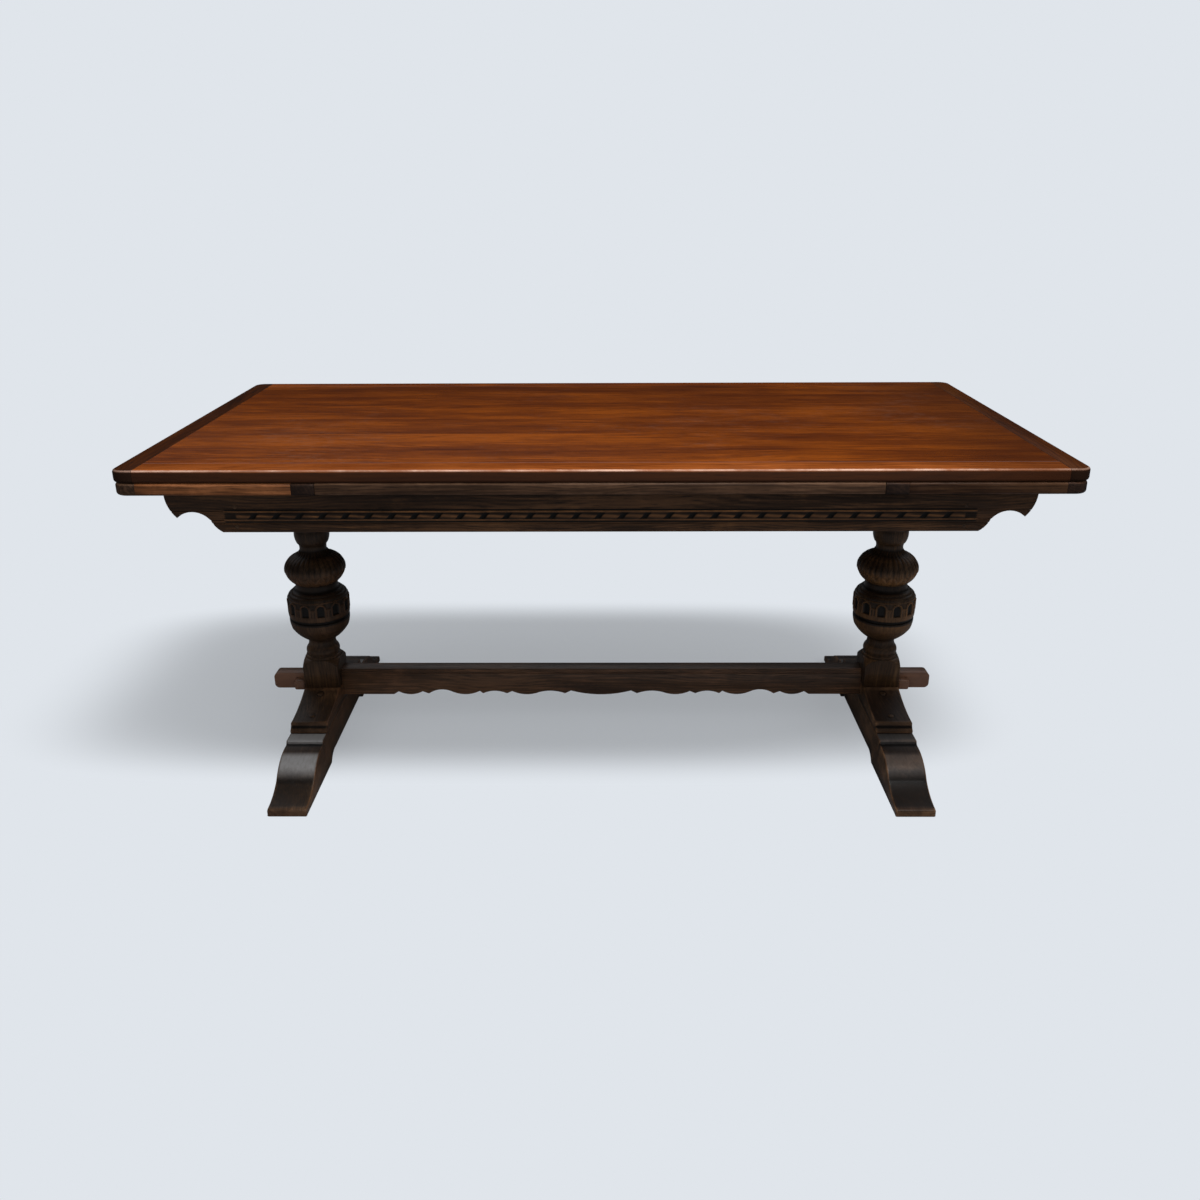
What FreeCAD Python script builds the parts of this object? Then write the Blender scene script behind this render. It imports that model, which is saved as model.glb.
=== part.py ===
import FreeCAD, Part
import os

import Sketcher

# An extending dining table of oak on two trestle ends.
# Each end is one turned column on a sledge foot, and a shaped stretcher ties the two.
# The loose top lies over a lower tier: a fixed centre board with a draw leaf at each end.
# Frame: +X along the table, +Y from front to back, +Z up, origin on the floor at the middle.

# Driving sizes, in millimetres
SIZES = {
    "table_length": 1840,
    "table_width": 914,
    "table_height": 790,
    # top and leaves
    "top_thick": 25,
    "leaf_thick": 24,
    "cleat_wide": 44,
    "rail_wide": 57,
    "edge_round": 6,
    "corner_round": 26,
    "leaf_setback": 2,
    "leaf_long": 382,
    "leaf_joint": 1,
    "slide_gap": 0.5,
    "leaf_travel": 380,
    "top_lift": 30,
    # aprons and rails
    "apron_high": 83,
    "apron_thick": 25,
    "apron_setback": 35,
    "apron_top_inset": 84,
    "apron_foot_inset": 190,
    "apron_relief": 1,
    "bead_wide": 2,
    "bead_deep": 1.5,
    "apron_bead_low": 16,
    "apron_bead_middle": 23,
    "apron_bead_high": 41,
    "end_rail_inset": 218,
    "end_rail_thick": 26,
    "centre_rail_thick": 34,
    "centre_rail_high": 70,
    "tenon_deep": 12,
    "tenon_thick": 12,
    "tenon_shoulder": 4,
    "peg_radius": 4,
    "peg_proud": 0.6,
    "peg_upper_drop": 31,
    "peg_lower_rise": 11,
    "corner_block_side": 50,
    "corner_block_high": 60,
    # lopers, the runners under the leaves
    "loper_wide": 30,
    "loper_high": 36,
    "loper_spread": 250,
    "loper_inset": 118,
    "loper_inner": 40,
    "loper_side_gap": 0.5,
    "stop_long": 40,
    "stop_high": 15,
    # guides of the loose top
    "guide_spread": 250,
    "guide_long": 60,
    "guide_wide": 30,
    "guide_gap": 1,
    "keeper_thick": 12,
    "keeper_wide": 90,
    # screws
    "screw_radius": 2.5,
    "screw_head_radius": 5,
    "screw_head_high": 4,
    "screw_bite": 12,
    "loper_screw_inset": 55,
    "loper_screw_pitch": 150,
    "board_screw_spread": 130,
    "board_screw_sink": 45,
    "bearer_screw_radius": 4,
    "bearer_screw_head": 8,
    "bearer_screw_spread": 200,
    "bearer_screw_bite": 30,
    # sledge feet and saddles
    "trestle_inset": 238,
    "post_side": 86.5,
    "foot_half": 400,
    "foot_high": 88,
    "toe_high": 17.5,
    "toe_round": 6,
    "foot_flat_half": 222,
    "foot_quirk": 8,
    "arch_half": 172,
    "arch_crown_half": 130,
    "arch_high": 19,
    "saddle_half": 188,
    "saddle_high": 47,
    "saddle_seat_half": 46,
    "saddle_shoulder_half": 178,
    "saddle_shoulder_high": 22,
    "saddle_fillet": 7,
    "saddle_peg_radius": 6.5,
    "saddle_peg_near": 65,
    "saddle_peg_far": 147,
    "saddle_peg_deep": 30,
    # columns and bearers
    "block_high": 71,
    "shoulder_high": 31,
    "cup_radius": 72.7,
    "cap_block_high": 55,
    "cap_shoulder_high": 12,
    "post_tenon_side": 50,
    "foot_tenon_deep": 30,
    "bearer_tenon_deep": 40,
    "bearer_half": 300,
    "bearer_flat_half": 100,
    "bearer_high": 68,
    "bearer_end_high": 32,
    # stretcher and its wedges
    "stretcher_thick": 36,
    "stretcher_low": 103,
    "stretcher_high": 70,
    "scallop_deep": 14,
    "stretcher_bead_drop": 13,
    "stretcher_bead_wide": 5,
    "stretcher_bead_deep": 3,
    "through_thick": 32,
    "through_low": 121,
    "through_high": 40,
    "through_reach": 81,
    "through_round": 11,
    "wedge_wide": 27,
    "wedge_taper": 4,
    "wedge_high": 24,
    "wedge_low": 125,
    "wedge_proud": 22,
}

# Tables of shapes. A corner is reached by a straight line, or, when a third and a fourth
# share are given, by an arc through the point they name.

# Turned part of a column, upwards: shares of its height, then of the cup's radius
TURNED_SHARES = [
    (0.0000, 0.5557),
    (0.0182, 0.5530, 0.0097, 0.5736),
    (0.0198, 0.5227),
    (0.0274, 0.5227),
    (0.0836, 0.4924, 0.0532, 0.5488),
    (0.1201, 0.4402, 0.1018, 0.4525),
    (0.1444, 0.4677, 0.1337, 0.4470),
    (0.2447, 0.9243, 0.1954, 0.7318),
    (0.2994, 0.9766, 0.2751, 0.9601),
    (0.3146, 0.9780),
    (0.3170, 0.9354),
    (0.3301, 0.9354),
    (0.3325, 0.9766),
    (0.3647, 0.9972, 0.3480, 0.9917),
    (0.3769, 1.0000),
    (0.4377, 1.0000),
    (0.4818, 0.9849, 0.4620, 0.9972),
    (0.4863, 0.9546),
    (0.5125, 0.8858, 0.5021, 0.9367),
    (0.5137, 0.8528),
    (0.5325, 0.7675, 0.5258, 0.8226),
    (0.5334, 0.7345),
    (0.5502, 0.6878, 0.5422, 0.7015),
    (0.5760, 0.6795),
    (0.5921, 0.6960),
    (0.6854, 0.9601, 0.6328, 0.8721),
    (0.7036, 0.9574),
    (0.7970, 0.5557, 0.7568, 0.8418),
    (0.8328, 0.4319, 0.8164, 0.4649),
    (0.8511, 0.4292),
    (0.8833, 0.4704, 0.8681, 0.4402),
    (0.8875, 0.4952),
    (0.9878, 0.5420, 0.9331, 0.5585),
    (0.9909, 0.5722),
    (1.0000, 0.5750),
]

# Lower edge of the stretcher, outwards from its middle: shares of its half length, then
# of the scallop's depth
SCALLOP_SHARES = [
    (0.116, 0.75, 0.000, 0.00),
    (0.139, 0.21),
    (0.238, 0.46, 0.188, 0.71),
    (0.344, 0.64, 0.297, 0.04),
    (0.365, 0.21),
    (0.457, 0.21, 0.412, 0.71),
    (0.469, 0.68),
    (0.573, 0.50, 0.521, 0.04),
    (0.667, 0.18, 0.623, 0.96),
    (0.691, 0.61),
    (0.784, 0.61, 0.737, 0.04),
    (0.802, 0.07),
    (1.000, 0.07),
]

# Shaped end of an apron, upwards: shares of its overhang beyond the lower edge, then of
# its height
APRON_END_SHARES = [
    (0.198, 0.277, 0.122, 0.126),
    (0.811, 0.349, 0.528, 0.493),
    (1.000, 0.988, 0.934, 0.566),
]

# Scroll of a foot's upper side, inwards from the toe: shares of its run, then of its rise
SCROLL_SHARES = [
    (0.469, 0.392, 0.284, 0.144),
    (1.000, 1.000, 0.691, 0.824),
]


class Length:
    """A length in millimetres that keeps the sheet's expression it comes from."""

    def __init__(self, number, text):
        self.number = float(number)
        self.text = text

    def __add__(self, other):
        other = as_length(other)
        return Length(self.number + other.number, f"({self.text} + {other.text})")

    def __sub__(self, other):
        other = as_length(other)
        return Length(self.number - other.number, f"({self.text} - {other.text})")

    def __mul__(self, other):
        other = as_length(other)
        return Length(self.number * other.number, f"({self.text} * {other.text})")

    def __truediv__(self, other):
        other = as_length(other)
        return Length(self.number / other.number, f"({self.text} / {other.text})")

    def __neg__(self):
        return Length(-self.number, f"(0 - {self.text})")

    __rmul__ = __mul__


def as_length(value):
    """A plain number as a Length, and a Length as it is."""
    return value if isinstance(value, Length) else Length(value, repr(value))


ZERO = Length(0, "0")

doc = FreeCAD.newDocument("extending_dining_table")
sheet = doc.addObject("Spreadsheet::Sheet", "Sizes")


class Sizes:
    """The driving sizes by name, each bound to its cell of the sheet."""

    def __init__(self, sizes):
        for row, (name, value) in enumerate(sizes.items(), start=1):
            sheet.set(f"A{row}", name.replace("_", " "))
            sheet.set(f"B{row}", str(value))
            sheet.setAlias(f"B{row}", name)
            setattr(self, name, Length(value, f"Sizes.{name}"))


s = Sizes(SIZES)
doc.recompute()

# Levels, from the top down
top_under = s.table_height - s.top_thick
leaf_under = top_under - s.slide_gap - s.leaf_thick
rail_top = leaf_under - s.slide_gap
board_under = rail_top + s.apron_relief
apron_low = board_under - s.apron_high
loper_under = leaf_under - s.loper_high
notch_floor = loper_under - s.slide_gap
keeper_top = board_under - s.slide_gap - s.top_lift
saddle_top = s.foot_high + s.saddle_high
block_top = saddle_top + s.block_high
bearer_low = apron_low - s.bearer_high
turned_high = bearer_low - s.cap_block_high - block_top

# Places along and across the table
half_length = s.table_length / 2
half_width = s.table_width / 2
leaf_outer = half_length - s.leaf_setback
leaf_inner = leaf_outer - s.leaf_long
centre_half = leaf_inner - s.leaf_joint
apron_face = half_width - s.apron_setback
apron_inner = apron_face - s.apron_thick
apron_top_half = half_length - s.apron_top_inset
apron_foot_half = half_length - s.apron_foot_inset
end_rail_place = half_length - s.end_rail_inset
rail_inner_face = end_rail_place - s.end_rail_thick / 2
loper_outer = leaf_outer - s.loper_inset
loper_long = loper_outer - s.loper_inner
stop_outer = rail_inner_face - s.leaf_travel - s.slide_gap
post_half = s.post_side / 2
trestle_place = half_length - s.trestle_inset
stretcher_half = trestle_place - post_half
block_face = trestle_place + post_half

# How far a quarter round's middle lies inside its corner
CORNER_SHARE = 0.2929

SIDES = {"left": -1, "right": 1}
ROWS = {"front": -1, "back": 1}
HALF_TURN = FreeCAD.Rotation(FreeCAD.Vector(0, 0, 1), 180)
TURNS = {
    "z": FreeCAD.Rotation(),
    "y": FreeCAD.Rotation(FreeCAD.Vector(1, 0, 0), -90),
}
nodes = []


def bind(thing, path, length):
    """Ties one property of a document object to the sheet."""
    thing.setExpression(path, as_length(length).text)


def put(thing, x=ZERO, y=ZERO, z=ZERO):
    """Places an object by three bound coordinates."""
    for axis, length in zip("xyz", (x, y, z)):
        bind(thing, f"Placement.Base.{axis}", length)


def new_part(label, x=ZERO, y=ZERO, z=ZERO, turned=False):
    """An empty body that becomes the sub-part of that name."""
    body = doc.addObject("PartDesign::Body", label)
    body.Label = label
    if turned:
        body.Placement = FreeCAD.Placement(FreeCAD.Vector(), HALF_TURN)
    put(body, x, y, z)
    nodes.append(body)
    return body


def add_block(body, low, size, cut=False):
    """Adds, or cuts away, a block by its lowest corner and its three sizes."""
    kind = "PartDesign::SubtractiveBox" if cut else "PartDesign::AdditiveBox"
    block = body.newObject(kind, "block")
    for name, length in zip(("Length", "Width", "Height"), size):
        bind(block, name, length)
    put(block, *low)
    return block


def add_rod(body, foot, radius, height, along="z", cut=False):
    """Adds, or cuts away, a round bar that starts at its foot and runs along an axis."""
    kind = "PartDesign::SubtractiveCylinder" if cut else "PartDesign::AdditiveCylinder"
    rod = body.newObject(kind, "rod")
    rod.Placement = FreeCAD.Placement(FreeCAD.Vector(), TURNS[along])
    bind(rod, "Radius", radius)
    bind(rod, "Height", height)
    put(rod, *foot)
    return rod


def flat(corner):
    return FreeCAD.Vector(as_length(corner[0]).number, as_length(corner[1]).number, 0)


def pin(geometry, end, corner):
    """The two rules that hold one point of a sketch, each with its expression."""
    rules = []
    for kind, value in zip(("DistanceX", "DistanceY"), corner):
        length = as_length(value)
        rule = Sketcher.Constraint(kind, -1, 1, geometry, end, length.number)
        rules.append((rule, length.text))
    return rules


def add_arc(sketch, start, via, end):
    """An arc through a middle point: its number, its two ends in order, its rules."""
    edge = sketch.addGeometry(Part.Arc(flat(start), flat(via), flat(end)), False)
    first, last = sketch.getPoint(edge, 1), sketch.getPoint(edge, 2)
    turned = first.distanceToPoint(flat(start)) > last.distanceToPoint(flat(start))
    middle = sketch.addGeometry(Part.Point(flat(via)), True)
    rules = pin(middle, 1, via)
    rules.append((Sketcher.Constraint("PointOnObject", middle, 1, edge), None))
    return (edge, 2, 1, rules) if turned else (edge, 1, 2, rules)


def add_outline(body, role, corners, rise=ZERO):
    """A closed sketch on one of the body's origin planes, from its corners in order.

    A corner is (x, y), or (x, y, via_x, via_y) when an arc leads to it. The first corner
    is reached from the last.
    """
    sketch = body.newObject("Sketcher::SketchObject", "outline")
    plane = [f for f in body.Origin.OriginFeatures if f.Role == role][0]
    sketch.AttachmentSupport = [(plane, "")]
    sketch.MapMode = "FlatFace"
    bind(sketch, "AttachmentOffset.Base.z", rise)
    edges = []
    for index, corner in enumerate(corners):
        start, end, via = corners[index - 1][:2], corner[:2], corner[2:]
        if via:
            edges.append(add_arc(sketch, start, via, end))
        else:
            line = Part.LineSegment(flat(start), flat(end))
            edges.append((sketch.addGeometry(line, False), 1, 2, []))
    rules = []
    for index, (edge, first, last, own) in enumerate(edges):
        before, before_last = edges[index - 1][0], edges[index - 1][2]
        joint = Sketcher.Constraint("Coincident", before, before_last, edge, first)
        rules.append((joint, None))
        rules += pin(edge, last, corners[index][:2]) + own
    sketch.addConstraint([rule for rule, text in rules])
    for index, (rule, text) in enumerate(rules):
        if text:
            sketch.setExpression(f"Constraints[{index}]", text)
    return sketch


def add_pad(body, sketch, thick, cut=False):
    """Thickens a sketch evenly to both sides, or cuts its shape away."""
    pad = body.newObject("PartDesign::Pocket" if cut else "PartDesign::Pad", "pad")
    pad.Profile = sketch
    pad.Midplane = True
    bind(pad, "Length", thick)
    return pad


def add_turning(body, sketch, cut=False):
    """Spins a sketch about its own upright axis, to add the shape or to cut it away."""
    kind = "PartDesign::Groove" if cut else "PartDesign::Revolution"
    turning = body.newObject(kind, "turning")
    turning.Profile = sketch
    turning.ReferenceAxis = (sketch, ["V_Axis"])
    turning.Angle = 360
    return turning


def mirrored(half):
    """A whole outline from its right half, listed upwards; the rest mirrors it."""
    corners = list(half)
    corners.append((-half[-1][0], half[-1][1]))
    for upper, lower in zip(reversed(half), reversed(half[:-1])):
        via = upper[2:]
        corner = (-lower[0], lower[1])
        corners.append(corner + ((-via[0], via[1]) if via else ()))
    return corners


def from_shares(shares, x_from, x_run, y_from, y_run):
    """Corners from a table of shares, laid between two places on each axis."""
    corners = []
    for row in shares:
        spread = [x_from + x_run * share for share in row[0::2]]
        height = [y_from + y_run * share for share in row[1::2]]
        corners.append(tuple(v for pair in zip(spread, height) for v in pair))
    return corners


def rounded_edge(outer, thick):
    """The lower and upper corner of a board's rounded outer edge."""
    r = s.edge_round
    near = r * CORNER_SHARE
    return [
        (outer - r, ZERO),
        (outer, r, outer - near, near),
        (outer, thick - r),
        (outer - r, thick, outer - near, thick - near),
    ]


# Boards of the top and the leaves

def build_panel(label, half_long, middle, level, thick):
    panel = new_part(label, x=middle, z=level)
    half_wide = half_width - s.rail_wide
    low = (-half_long, -half_wide, ZERO)
    add_block(panel, low, (half_long * 2, half_wide * 2, thick))
    return panel


def build_long_rail(label, half_long, middle, level, thick, row):
    """A long rail of a framed board, with its rounded edge outwards."""
    rail = new_part(label, x=middle, z=level, turned=row < 0)
    inner = half_width - s.rail_wide
    corners = [(inner, ZERO)] + rounded_edge(half_width, thick) + [(inner, thick)]
    add_pad(rail, add_outline(rail, "YZ_Plane", corners), half_long * 2)
    return rail


def build_end_cleat(label, outer, level, thick, side):
    """A cleat across an outer end, with round corners and rounded edges."""
    cleat = new_part(label, z=level, turned=side < 0)
    r = s.corner_round
    near = r * CORNER_SHARE
    inner = outer - s.cleat_wide
    corners = [
        (inner, -half_width),
        (outer - r, -half_width),
        (outer, r - half_width, outer - near, near - half_width),
        (outer, half_width - r),
        (outer - r, half_width, outer - near, half_width - near),
        (inner, half_width),
    ]
    sketch = add_outline(cleat, "XY_Plane", corners, rise=thick / 2)
    board = add_pad(cleat, sketch, thick)
    doc.recompute()
    beyond = (inner + s.edge_round / 2).number
    rim = [
        f"Edge{number}"
        for number, edge in enumerate(board.Shape.Edges, start=1)
        if edge.BoundBox.XMax > beyond and edge.BoundBox.ZLength < s.edge_round.number / 2
    ]
    rounding = cleat.newObject("PartDesign::Fillet", "rounding")
    rounding.Base = (board, rim)
    bind(rounding, "Radius", s.edge_round)
    return cleat


def build_across(label, half_long, middle, level, thick):
    """A board that runs across the whole table, rounded at its front and back edge."""
    board = new_part(label, x=middle, z=level)
    sketch = add_outline(board, "YZ_Plane", mirrored(rounded_edge(half_width, thick)))
    add_pad(board, sketch, half_long * 2)
    return board


# Loose top: a panel between two long rails, closed by a cleat across each end
top_inner = half_length - s.cleat_wide
build_panel("top_panel", top_inner, ZERO, top_under, s.top_thick)
for row, across in ROWS.items():
    build_long_rail(f"top_rail_{row}", top_inner, ZERO, top_under, s.top_thick, across)
for side, way in SIDES.items():
    build_end_cleat(f"top_cleat_{side}", half_length, top_under, s.top_thick, way)

# Guides: a block under the top drops through a slot in the centre board, and a keeper
# bar screwed on beneath stops the top from coming away
for side, way in SIDES.items():
    place = s.guide_spread * way
    guide = new_part(f"guide_block_{side}", x=place, z=keeper_top)
    low = (-s.guide_long / 2, -s.guide_wide / 2, ZERO)
    add_block(guide, low, (s.guide_long, s.guide_wide, top_under - keeper_top))
    add_rod(guide, (ZERO, ZERO, ZERO), s.screw_radius, s.screw_bite, cut=True)
    keeper = new_part(f"keeper_bar_{side}", x=place, z=keeper_top - s.keeper_thick)
    low = (-s.guide_long / 2, -s.keeper_wide / 2, ZERO)
    add_block(keeper, low, (s.guide_long, s.keeper_wide, s.keeper_thick))
    add_rod(keeper, (ZERO, ZERO, ZERO), s.screw_radius, s.keeper_thick, cut=True)
    head = (s.screw_head_radius, s.screw_head_high)
    add_rod(keeper, (ZERO, ZERO, ZERO), *head, cut=True)

keeper_screws = new_part("keeper_screws", z=keeper_top - s.keeper_thick)
for way in SIDES.values():
    foot = (s.guide_spread * way, ZERO, ZERO)
    add_rod(keeper_screws, foot, s.screw_radius, s.keeper_thick + s.screw_bite)
    add_rod(keeper_screws, foot, s.screw_head_radius, s.screw_head_high)

# Draw leaves, each on two lopers that slide in notches of the end rail
leaf_half = (leaf_outer - leaf_inner) / 2 - s.cleat_wide
leaf_middle = (leaf_outer + leaf_inner) / 2
loper_middle = (loper_outer + s.loper_inner) / 2
first_screw = loper_outer - s.loper_screw_inset
screw_places = (first_screw, first_screw - s.loper_screw_pitch)

for side, way in SIDES.items():
    thick = s.leaf_thick
    middle = leaf_middle * way
    panel = build_panel(f"leaf_panel_{side}", leaf_half, middle, leaf_under, thick)
    for place in screw_places:
        for across in ROWS.values():
            foot = ((place - leaf_middle) * way, s.loper_spread * across, ZERO)
            add_rod(panel, foot, s.screw_radius, s.screw_bite, cut=True)
    for row, across in ROWS.items():
        label = f"leaf_rail_{row}_{side}"
        build_long_rail(label, leaf_half, middle, leaf_under, thick, across)
    build_end_cleat(f"leaf_end_cleat_{side}", leaf_outer, leaf_under, thick, way)
    cleat_middle = (leaf_inner + s.cleat_wide / 2) * way
    label = f"leaf_inner_cleat_{side}"
    build_across(label, s.cleat_wide / 2, cleat_middle, leaf_under, thick)

    stops = new_part(f"loper_stops_{side}", z=loper_under - s.stop_high)
    screws = new_part(f"loper_screws_{side}", z=loper_under)
    for row, across in ROWS.items():
        spot = s.loper_spread * across
        label = f"loper_{row}_{side}"
        loper = new_part(label, x=loper_middle * way, y=spot, z=loper_under)
        low = (-loper_long / 2, -s.loper_wide / 2, ZERO)
        add_block(loper, low, (loper_long, s.loper_wide, s.loper_high))
        inner_x = stop_outer - s.stop_long if way > 0 else -stop_outer
        low = (inner_x, spot - s.loper_wide / 2, ZERO)
        add_block(stops, low, (s.stop_long, s.loper_wide, s.stop_high))
        for place in screw_places:
            foot = ((place - loper_middle) * way, ZERO, ZERO)
            add_rod(loper, foot, s.screw_radius, s.loper_high, cut=True)
            add_rod(loper, foot, s.screw_head_radius, s.screw_head_high, cut=True)
            foot = (place * way, spot, ZERO)
            add_rod(screws, foot, s.screw_radius, s.loper_high + s.screw_bite)
            add_rod(screws, foot, s.screw_head_radius, s.screw_head_high)

# Centre board, fixed between the leaves
board_thick = top_under - board_under
board = build_across("centre_board", centre_half, ZERO, board_under, board_thick)
slot_long = s.guide_long + s.guide_gap * 2
slot_wide = s.guide_wide + s.guide_gap * 2
for way in SIDES.values():
    low = (s.guide_spread * way - slot_long / 2, -slot_wide / 2, ZERO)
    add_block(board, low, (slot_long, slot_wide, board_thick), cut=True)

# Centre rail, and the screws that go up through it into the centre board
board_screw_places = [s.board_screw_spread * step for step in (-2.5, -1, 1, 2.5)]
for spot in board_screw_places:
    add_rod(board, (ZERO, spot, ZERO), s.screw_radius, s.screw_bite, cut=True)

tenon_high = s.centre_rail_high - s.tenon_shoulder * 2
rail_half = apron_inner + s.tenon_deep


def add_tenoned_rail(body, thick, high):
    """A rail across the frame with a tenon at each end."""
    low = (-thick / 2, -apron_inner, ZERO)
    add_block(body, low, (thick, apron_inner * 2, high))
    low = (-s.tenon_thick / 2, -rail_half, s.tenon_shoulder)
    size = (s.tenon_thick, rail_half * 2, high - s.tenon_shoulder * 2)
    add_block(body, low, size)


centre_rail_low = board_under - s.centre_rail_high
rail = new_part("centre_rail", z=centre_rail_low)
add_tenoned_rail(rail, s.centre_rail_thick, s.centre_rail_high)
for spot in board_screw_places:
    foot = (ZERO, spot, ZERO)
    add_rod(rail, foot, s.screw_radius, s.centre_rail_high, cut=True)
    add_rod(rail, foot, s.screw_head_radius, s.board_screw_sink, cut=True)

board_screws = new_part("board_screws", z=centre_rail_low + s.board_screw_sink)
shank = s.centre_rail_high - s.board_screw_sink + s.screw_bite
for spot in board_screw_places:
    add_rod(board_screws, (ZERO, spot, ZERO), s.screw_radius, shank)
    foot = (ZERO, spot, -s.screw_head_high)
    add_rod(board_screws, foot, s.screw_head_radius, s.screw_head_high)

# Aprons: a long board each, with a shaped end and beads along its face
end_rail_high = rail_top - apron_low
peg_heights = (s.peg_lower_rise, end_rail_high - s.peg_upper_drop)

for row, across in ROWS.items():
    apron = new_part(f"apron_{row}", y=apron_face * across, z=apron_low, turned=across > 0)
    overhang = apron_top_half - apron_foot_half
    half = [(apron_foot_half, ZERO)]
    half += from_shares(APRON_END_SHARES, apron_foot_half, overhang, ZERO, s.apron_high)
    half[-1] = (apron_top_half, end_rail_high) + half[-1][2:]
    half += [(centre_half, end_rail_high), (centre_half, s.apron_high)]
    sketch = add_outline(apron, "XZ_Plane", mirrored(half), rise=-s.apron_thick / 2)
    add_pad(apron, sketch, s.apron_thick)
    for rise in (s.apron_bead_low, s.apron_bead_middle, s.apron_bead_high):
        low = (-apron_top_half, ZERO, rise)
        add_block(apron, low, (apron_top_half * 2, s.bead_deep, s.bead_wide), cut=True)
    mortise_y = s.apron_thick - s.tenon_deep
    for way in SIDES.values():
        middle = end_rail_place * way
        low = (middle - s.tenon_thick / 2, mortise_y, s.tenon_shoulder)
        size = (s.tenon_thick, s.tenon_deep, end_rail_high - s.tenon_shoulder * 2)
        add_block(apron, low, size, cut=True)
        for rise in peg_heights:
            foot = (middle, ZERO, rise)
            add_rod(apron, foot, s.peg_radius, mortise_y, along="y", cut=True)
    low = (-s.tenon_thick / 2, mortise_y, s.apron_high - s.centre_rail_high + s.tenon_shoulder)
    add_block(apron, low, (s.tenon_thick, s.tenon_deep, tenon_high), cut=True)

    pegs = new_part(f"rail_pegs_{row}", y=apron_face * across, z=apron_low, turned=across > 0)
    for way in SIDES.values():
        for rise in peg_heights:
            foot = (end_rail_place * way, -s.peg_proud, rise)
            long = s.apron_thick + s.peg_proud
            add_rod(pegs, foot, s.peg_radius, long, along="y")

# End rails, notched for the lopers
notch_wide = s.loper_wide + s.loper_side_gap * 2
for side, way in SIDES.items():
    rail = new_part(f"end_rail_{side}", x=end_rail_place * way, z=apron_low)
    add_tenoned_rail(rail, s.end_rail_thick, end_rail_high)
    for across in ROWS.values():
        spot = s.loper_spread * across
        low = (-s.end_rail_thick / 2, spot - notch_wide / 2, notch_floor - apron_low)
        size = (s.end_rail_thick, notch_wide, rail_top - notch_floor)
        add_block(rail, low, size, cut=True)
        spot = s.bearer_screw_spread * across
        foot = (ZERO, spot, ZERO)
        add_rod(rail, foot, s.bearer_screw_radius, s.bearer_screw_bite, cut=True)
        start = apron_inner if across > 0 else -rail_half
        for rise in peg_heights:
            foot = (ZERO, start, rise)
            add_rod(rail, foot, s.peg_radius, s.tenon_deep, along="y", cut=True)

# Corner blocks inside the frame
blocks = new_part("corner_blocks", z=rail_top - s.corner_block_high)
for way in SIDES.values():
    for across in ROWS.values():
        side = s.corner_block_side
        x = rail_inner_face - side if way > 0 else -rail_inner_face
        y = apron_inner - side if across > 0 else -apron_inner
        add_block(blocks, (x, y, ZERO), (side, side, s.corner_block_high))

# Trestle ends
tenon_half = s.post_tenon_side / 2
diagonal = s.post_side * 0.75


def add_shoulder(body, low, high):
    """Turns the corners off the end of a square block, from full square to round.

    The first height is where the block is still square, the second is the end it meets
    the turned part at.
    """
    rise = high - low
    corners = [
        (diagonal, low),
        (post_half * 1.02, high, post_half * 1.30, low + rise * 0.62),
        (diagonal, high),
    ]
    add_turning(body, add_outline(body, "XZ_Plane", corners), cut=True)


def build_column(label, place):
    """A column: square block, turned cup and cover, square block, and a tenon each way."""
    column = new_part(label, x=place, z=saddle_top)
    side = (s.post_side, s.post_side)
    cap_from = s.block_high + turned_high
    top = cap_from + s.cap_block_high
    add_block(column, (-post_half, -post_half, ZERO), side + (s.block_high,))
    add_shoulder(column, s.block_high - s.shoulder_high, s.block_high)
    rows = [tuple(row[i ^ 1] for i in range(len(row))) for row in TURNED_SHARES]
    half = from_shares(rows, ZERO, s.cup_radius, s.block_high, turned_high)
    corners = [(ZERO, s.block_high)] + half + [(ZERO, cap_from)]
    add_turning(column, add_outline(column, "XZ_Plane", corners))
    add_block(column, (-post_half, -post_half, cap_from), side + (s.cap_block_high,))
    add_shoulder(column, cap_from + s.cap_shoulder_high, cap_from)
    tenon = (s.post_tenon_side, s.post_tenon_side)
    deep = s.saddle_high + s.foot_tenon_deep
    add_block(column, (-tenon_half, -tenon_half, -deep), tenon + (deep,))
    add_block(column, (-tenon_half, -tenon_half, top), tenon + (s.bearer_tenon_deep,))
    low = (-post_half, -s.through_thick / 2, s.through_low - saddle_top)
    size = (s.post_side, s.through_thick, s.through_high)
    add_block(column, low, size, cut=True)
    return column


def build_foot(label, place):
    """A sledge foot: an arch beneath, a flat middle and a scroll down to each toe."""
    foot = new_part(label, x=place)
    crown = s.arch_crown_half
    reach = s.arch_half - crown
    scroll_from = s.foot_half - s.toe_round
    scroll_to = s.foot_flat_half + s.foot_quirk * 1.75
    rise = s.foot_high - s.foot_quirk - s.toe_high
    half = [
        (crown, s.arch_high),
        (s.arch_half, ZERO, crown + reach * 0.70, s.arch_high * 0.68),
        (s.foot_half, ZERO),
        (s.foot_half, s.toe_high - s.toe_round / 2),
        (scroll_from, s.toe_high),
    ]
    half += from_shares(SCROLL_SHARES, scroll_from, scroll_to - scroll_from, s.toe_high, rise)
    half += [
        (s.foot_flat_half + s.foot_quirk / 2, s.foot_high - s.foot_quirk),
        (s.foot_flat_half, s.foot_high),
    ]
    add_pad(foot, add_outline(foot, "YZ_Plane", mirrored(half)), s.post_side)
    low = (-tenon_half, -tenon_half, s.foot_high - s.foot_tenon_deep)
    size = (s.post_tenon_side, s.post_tenon_side, s.foot_tenon_deep)
    add_block(foot, low, size, cut=True)
    return foot


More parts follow.
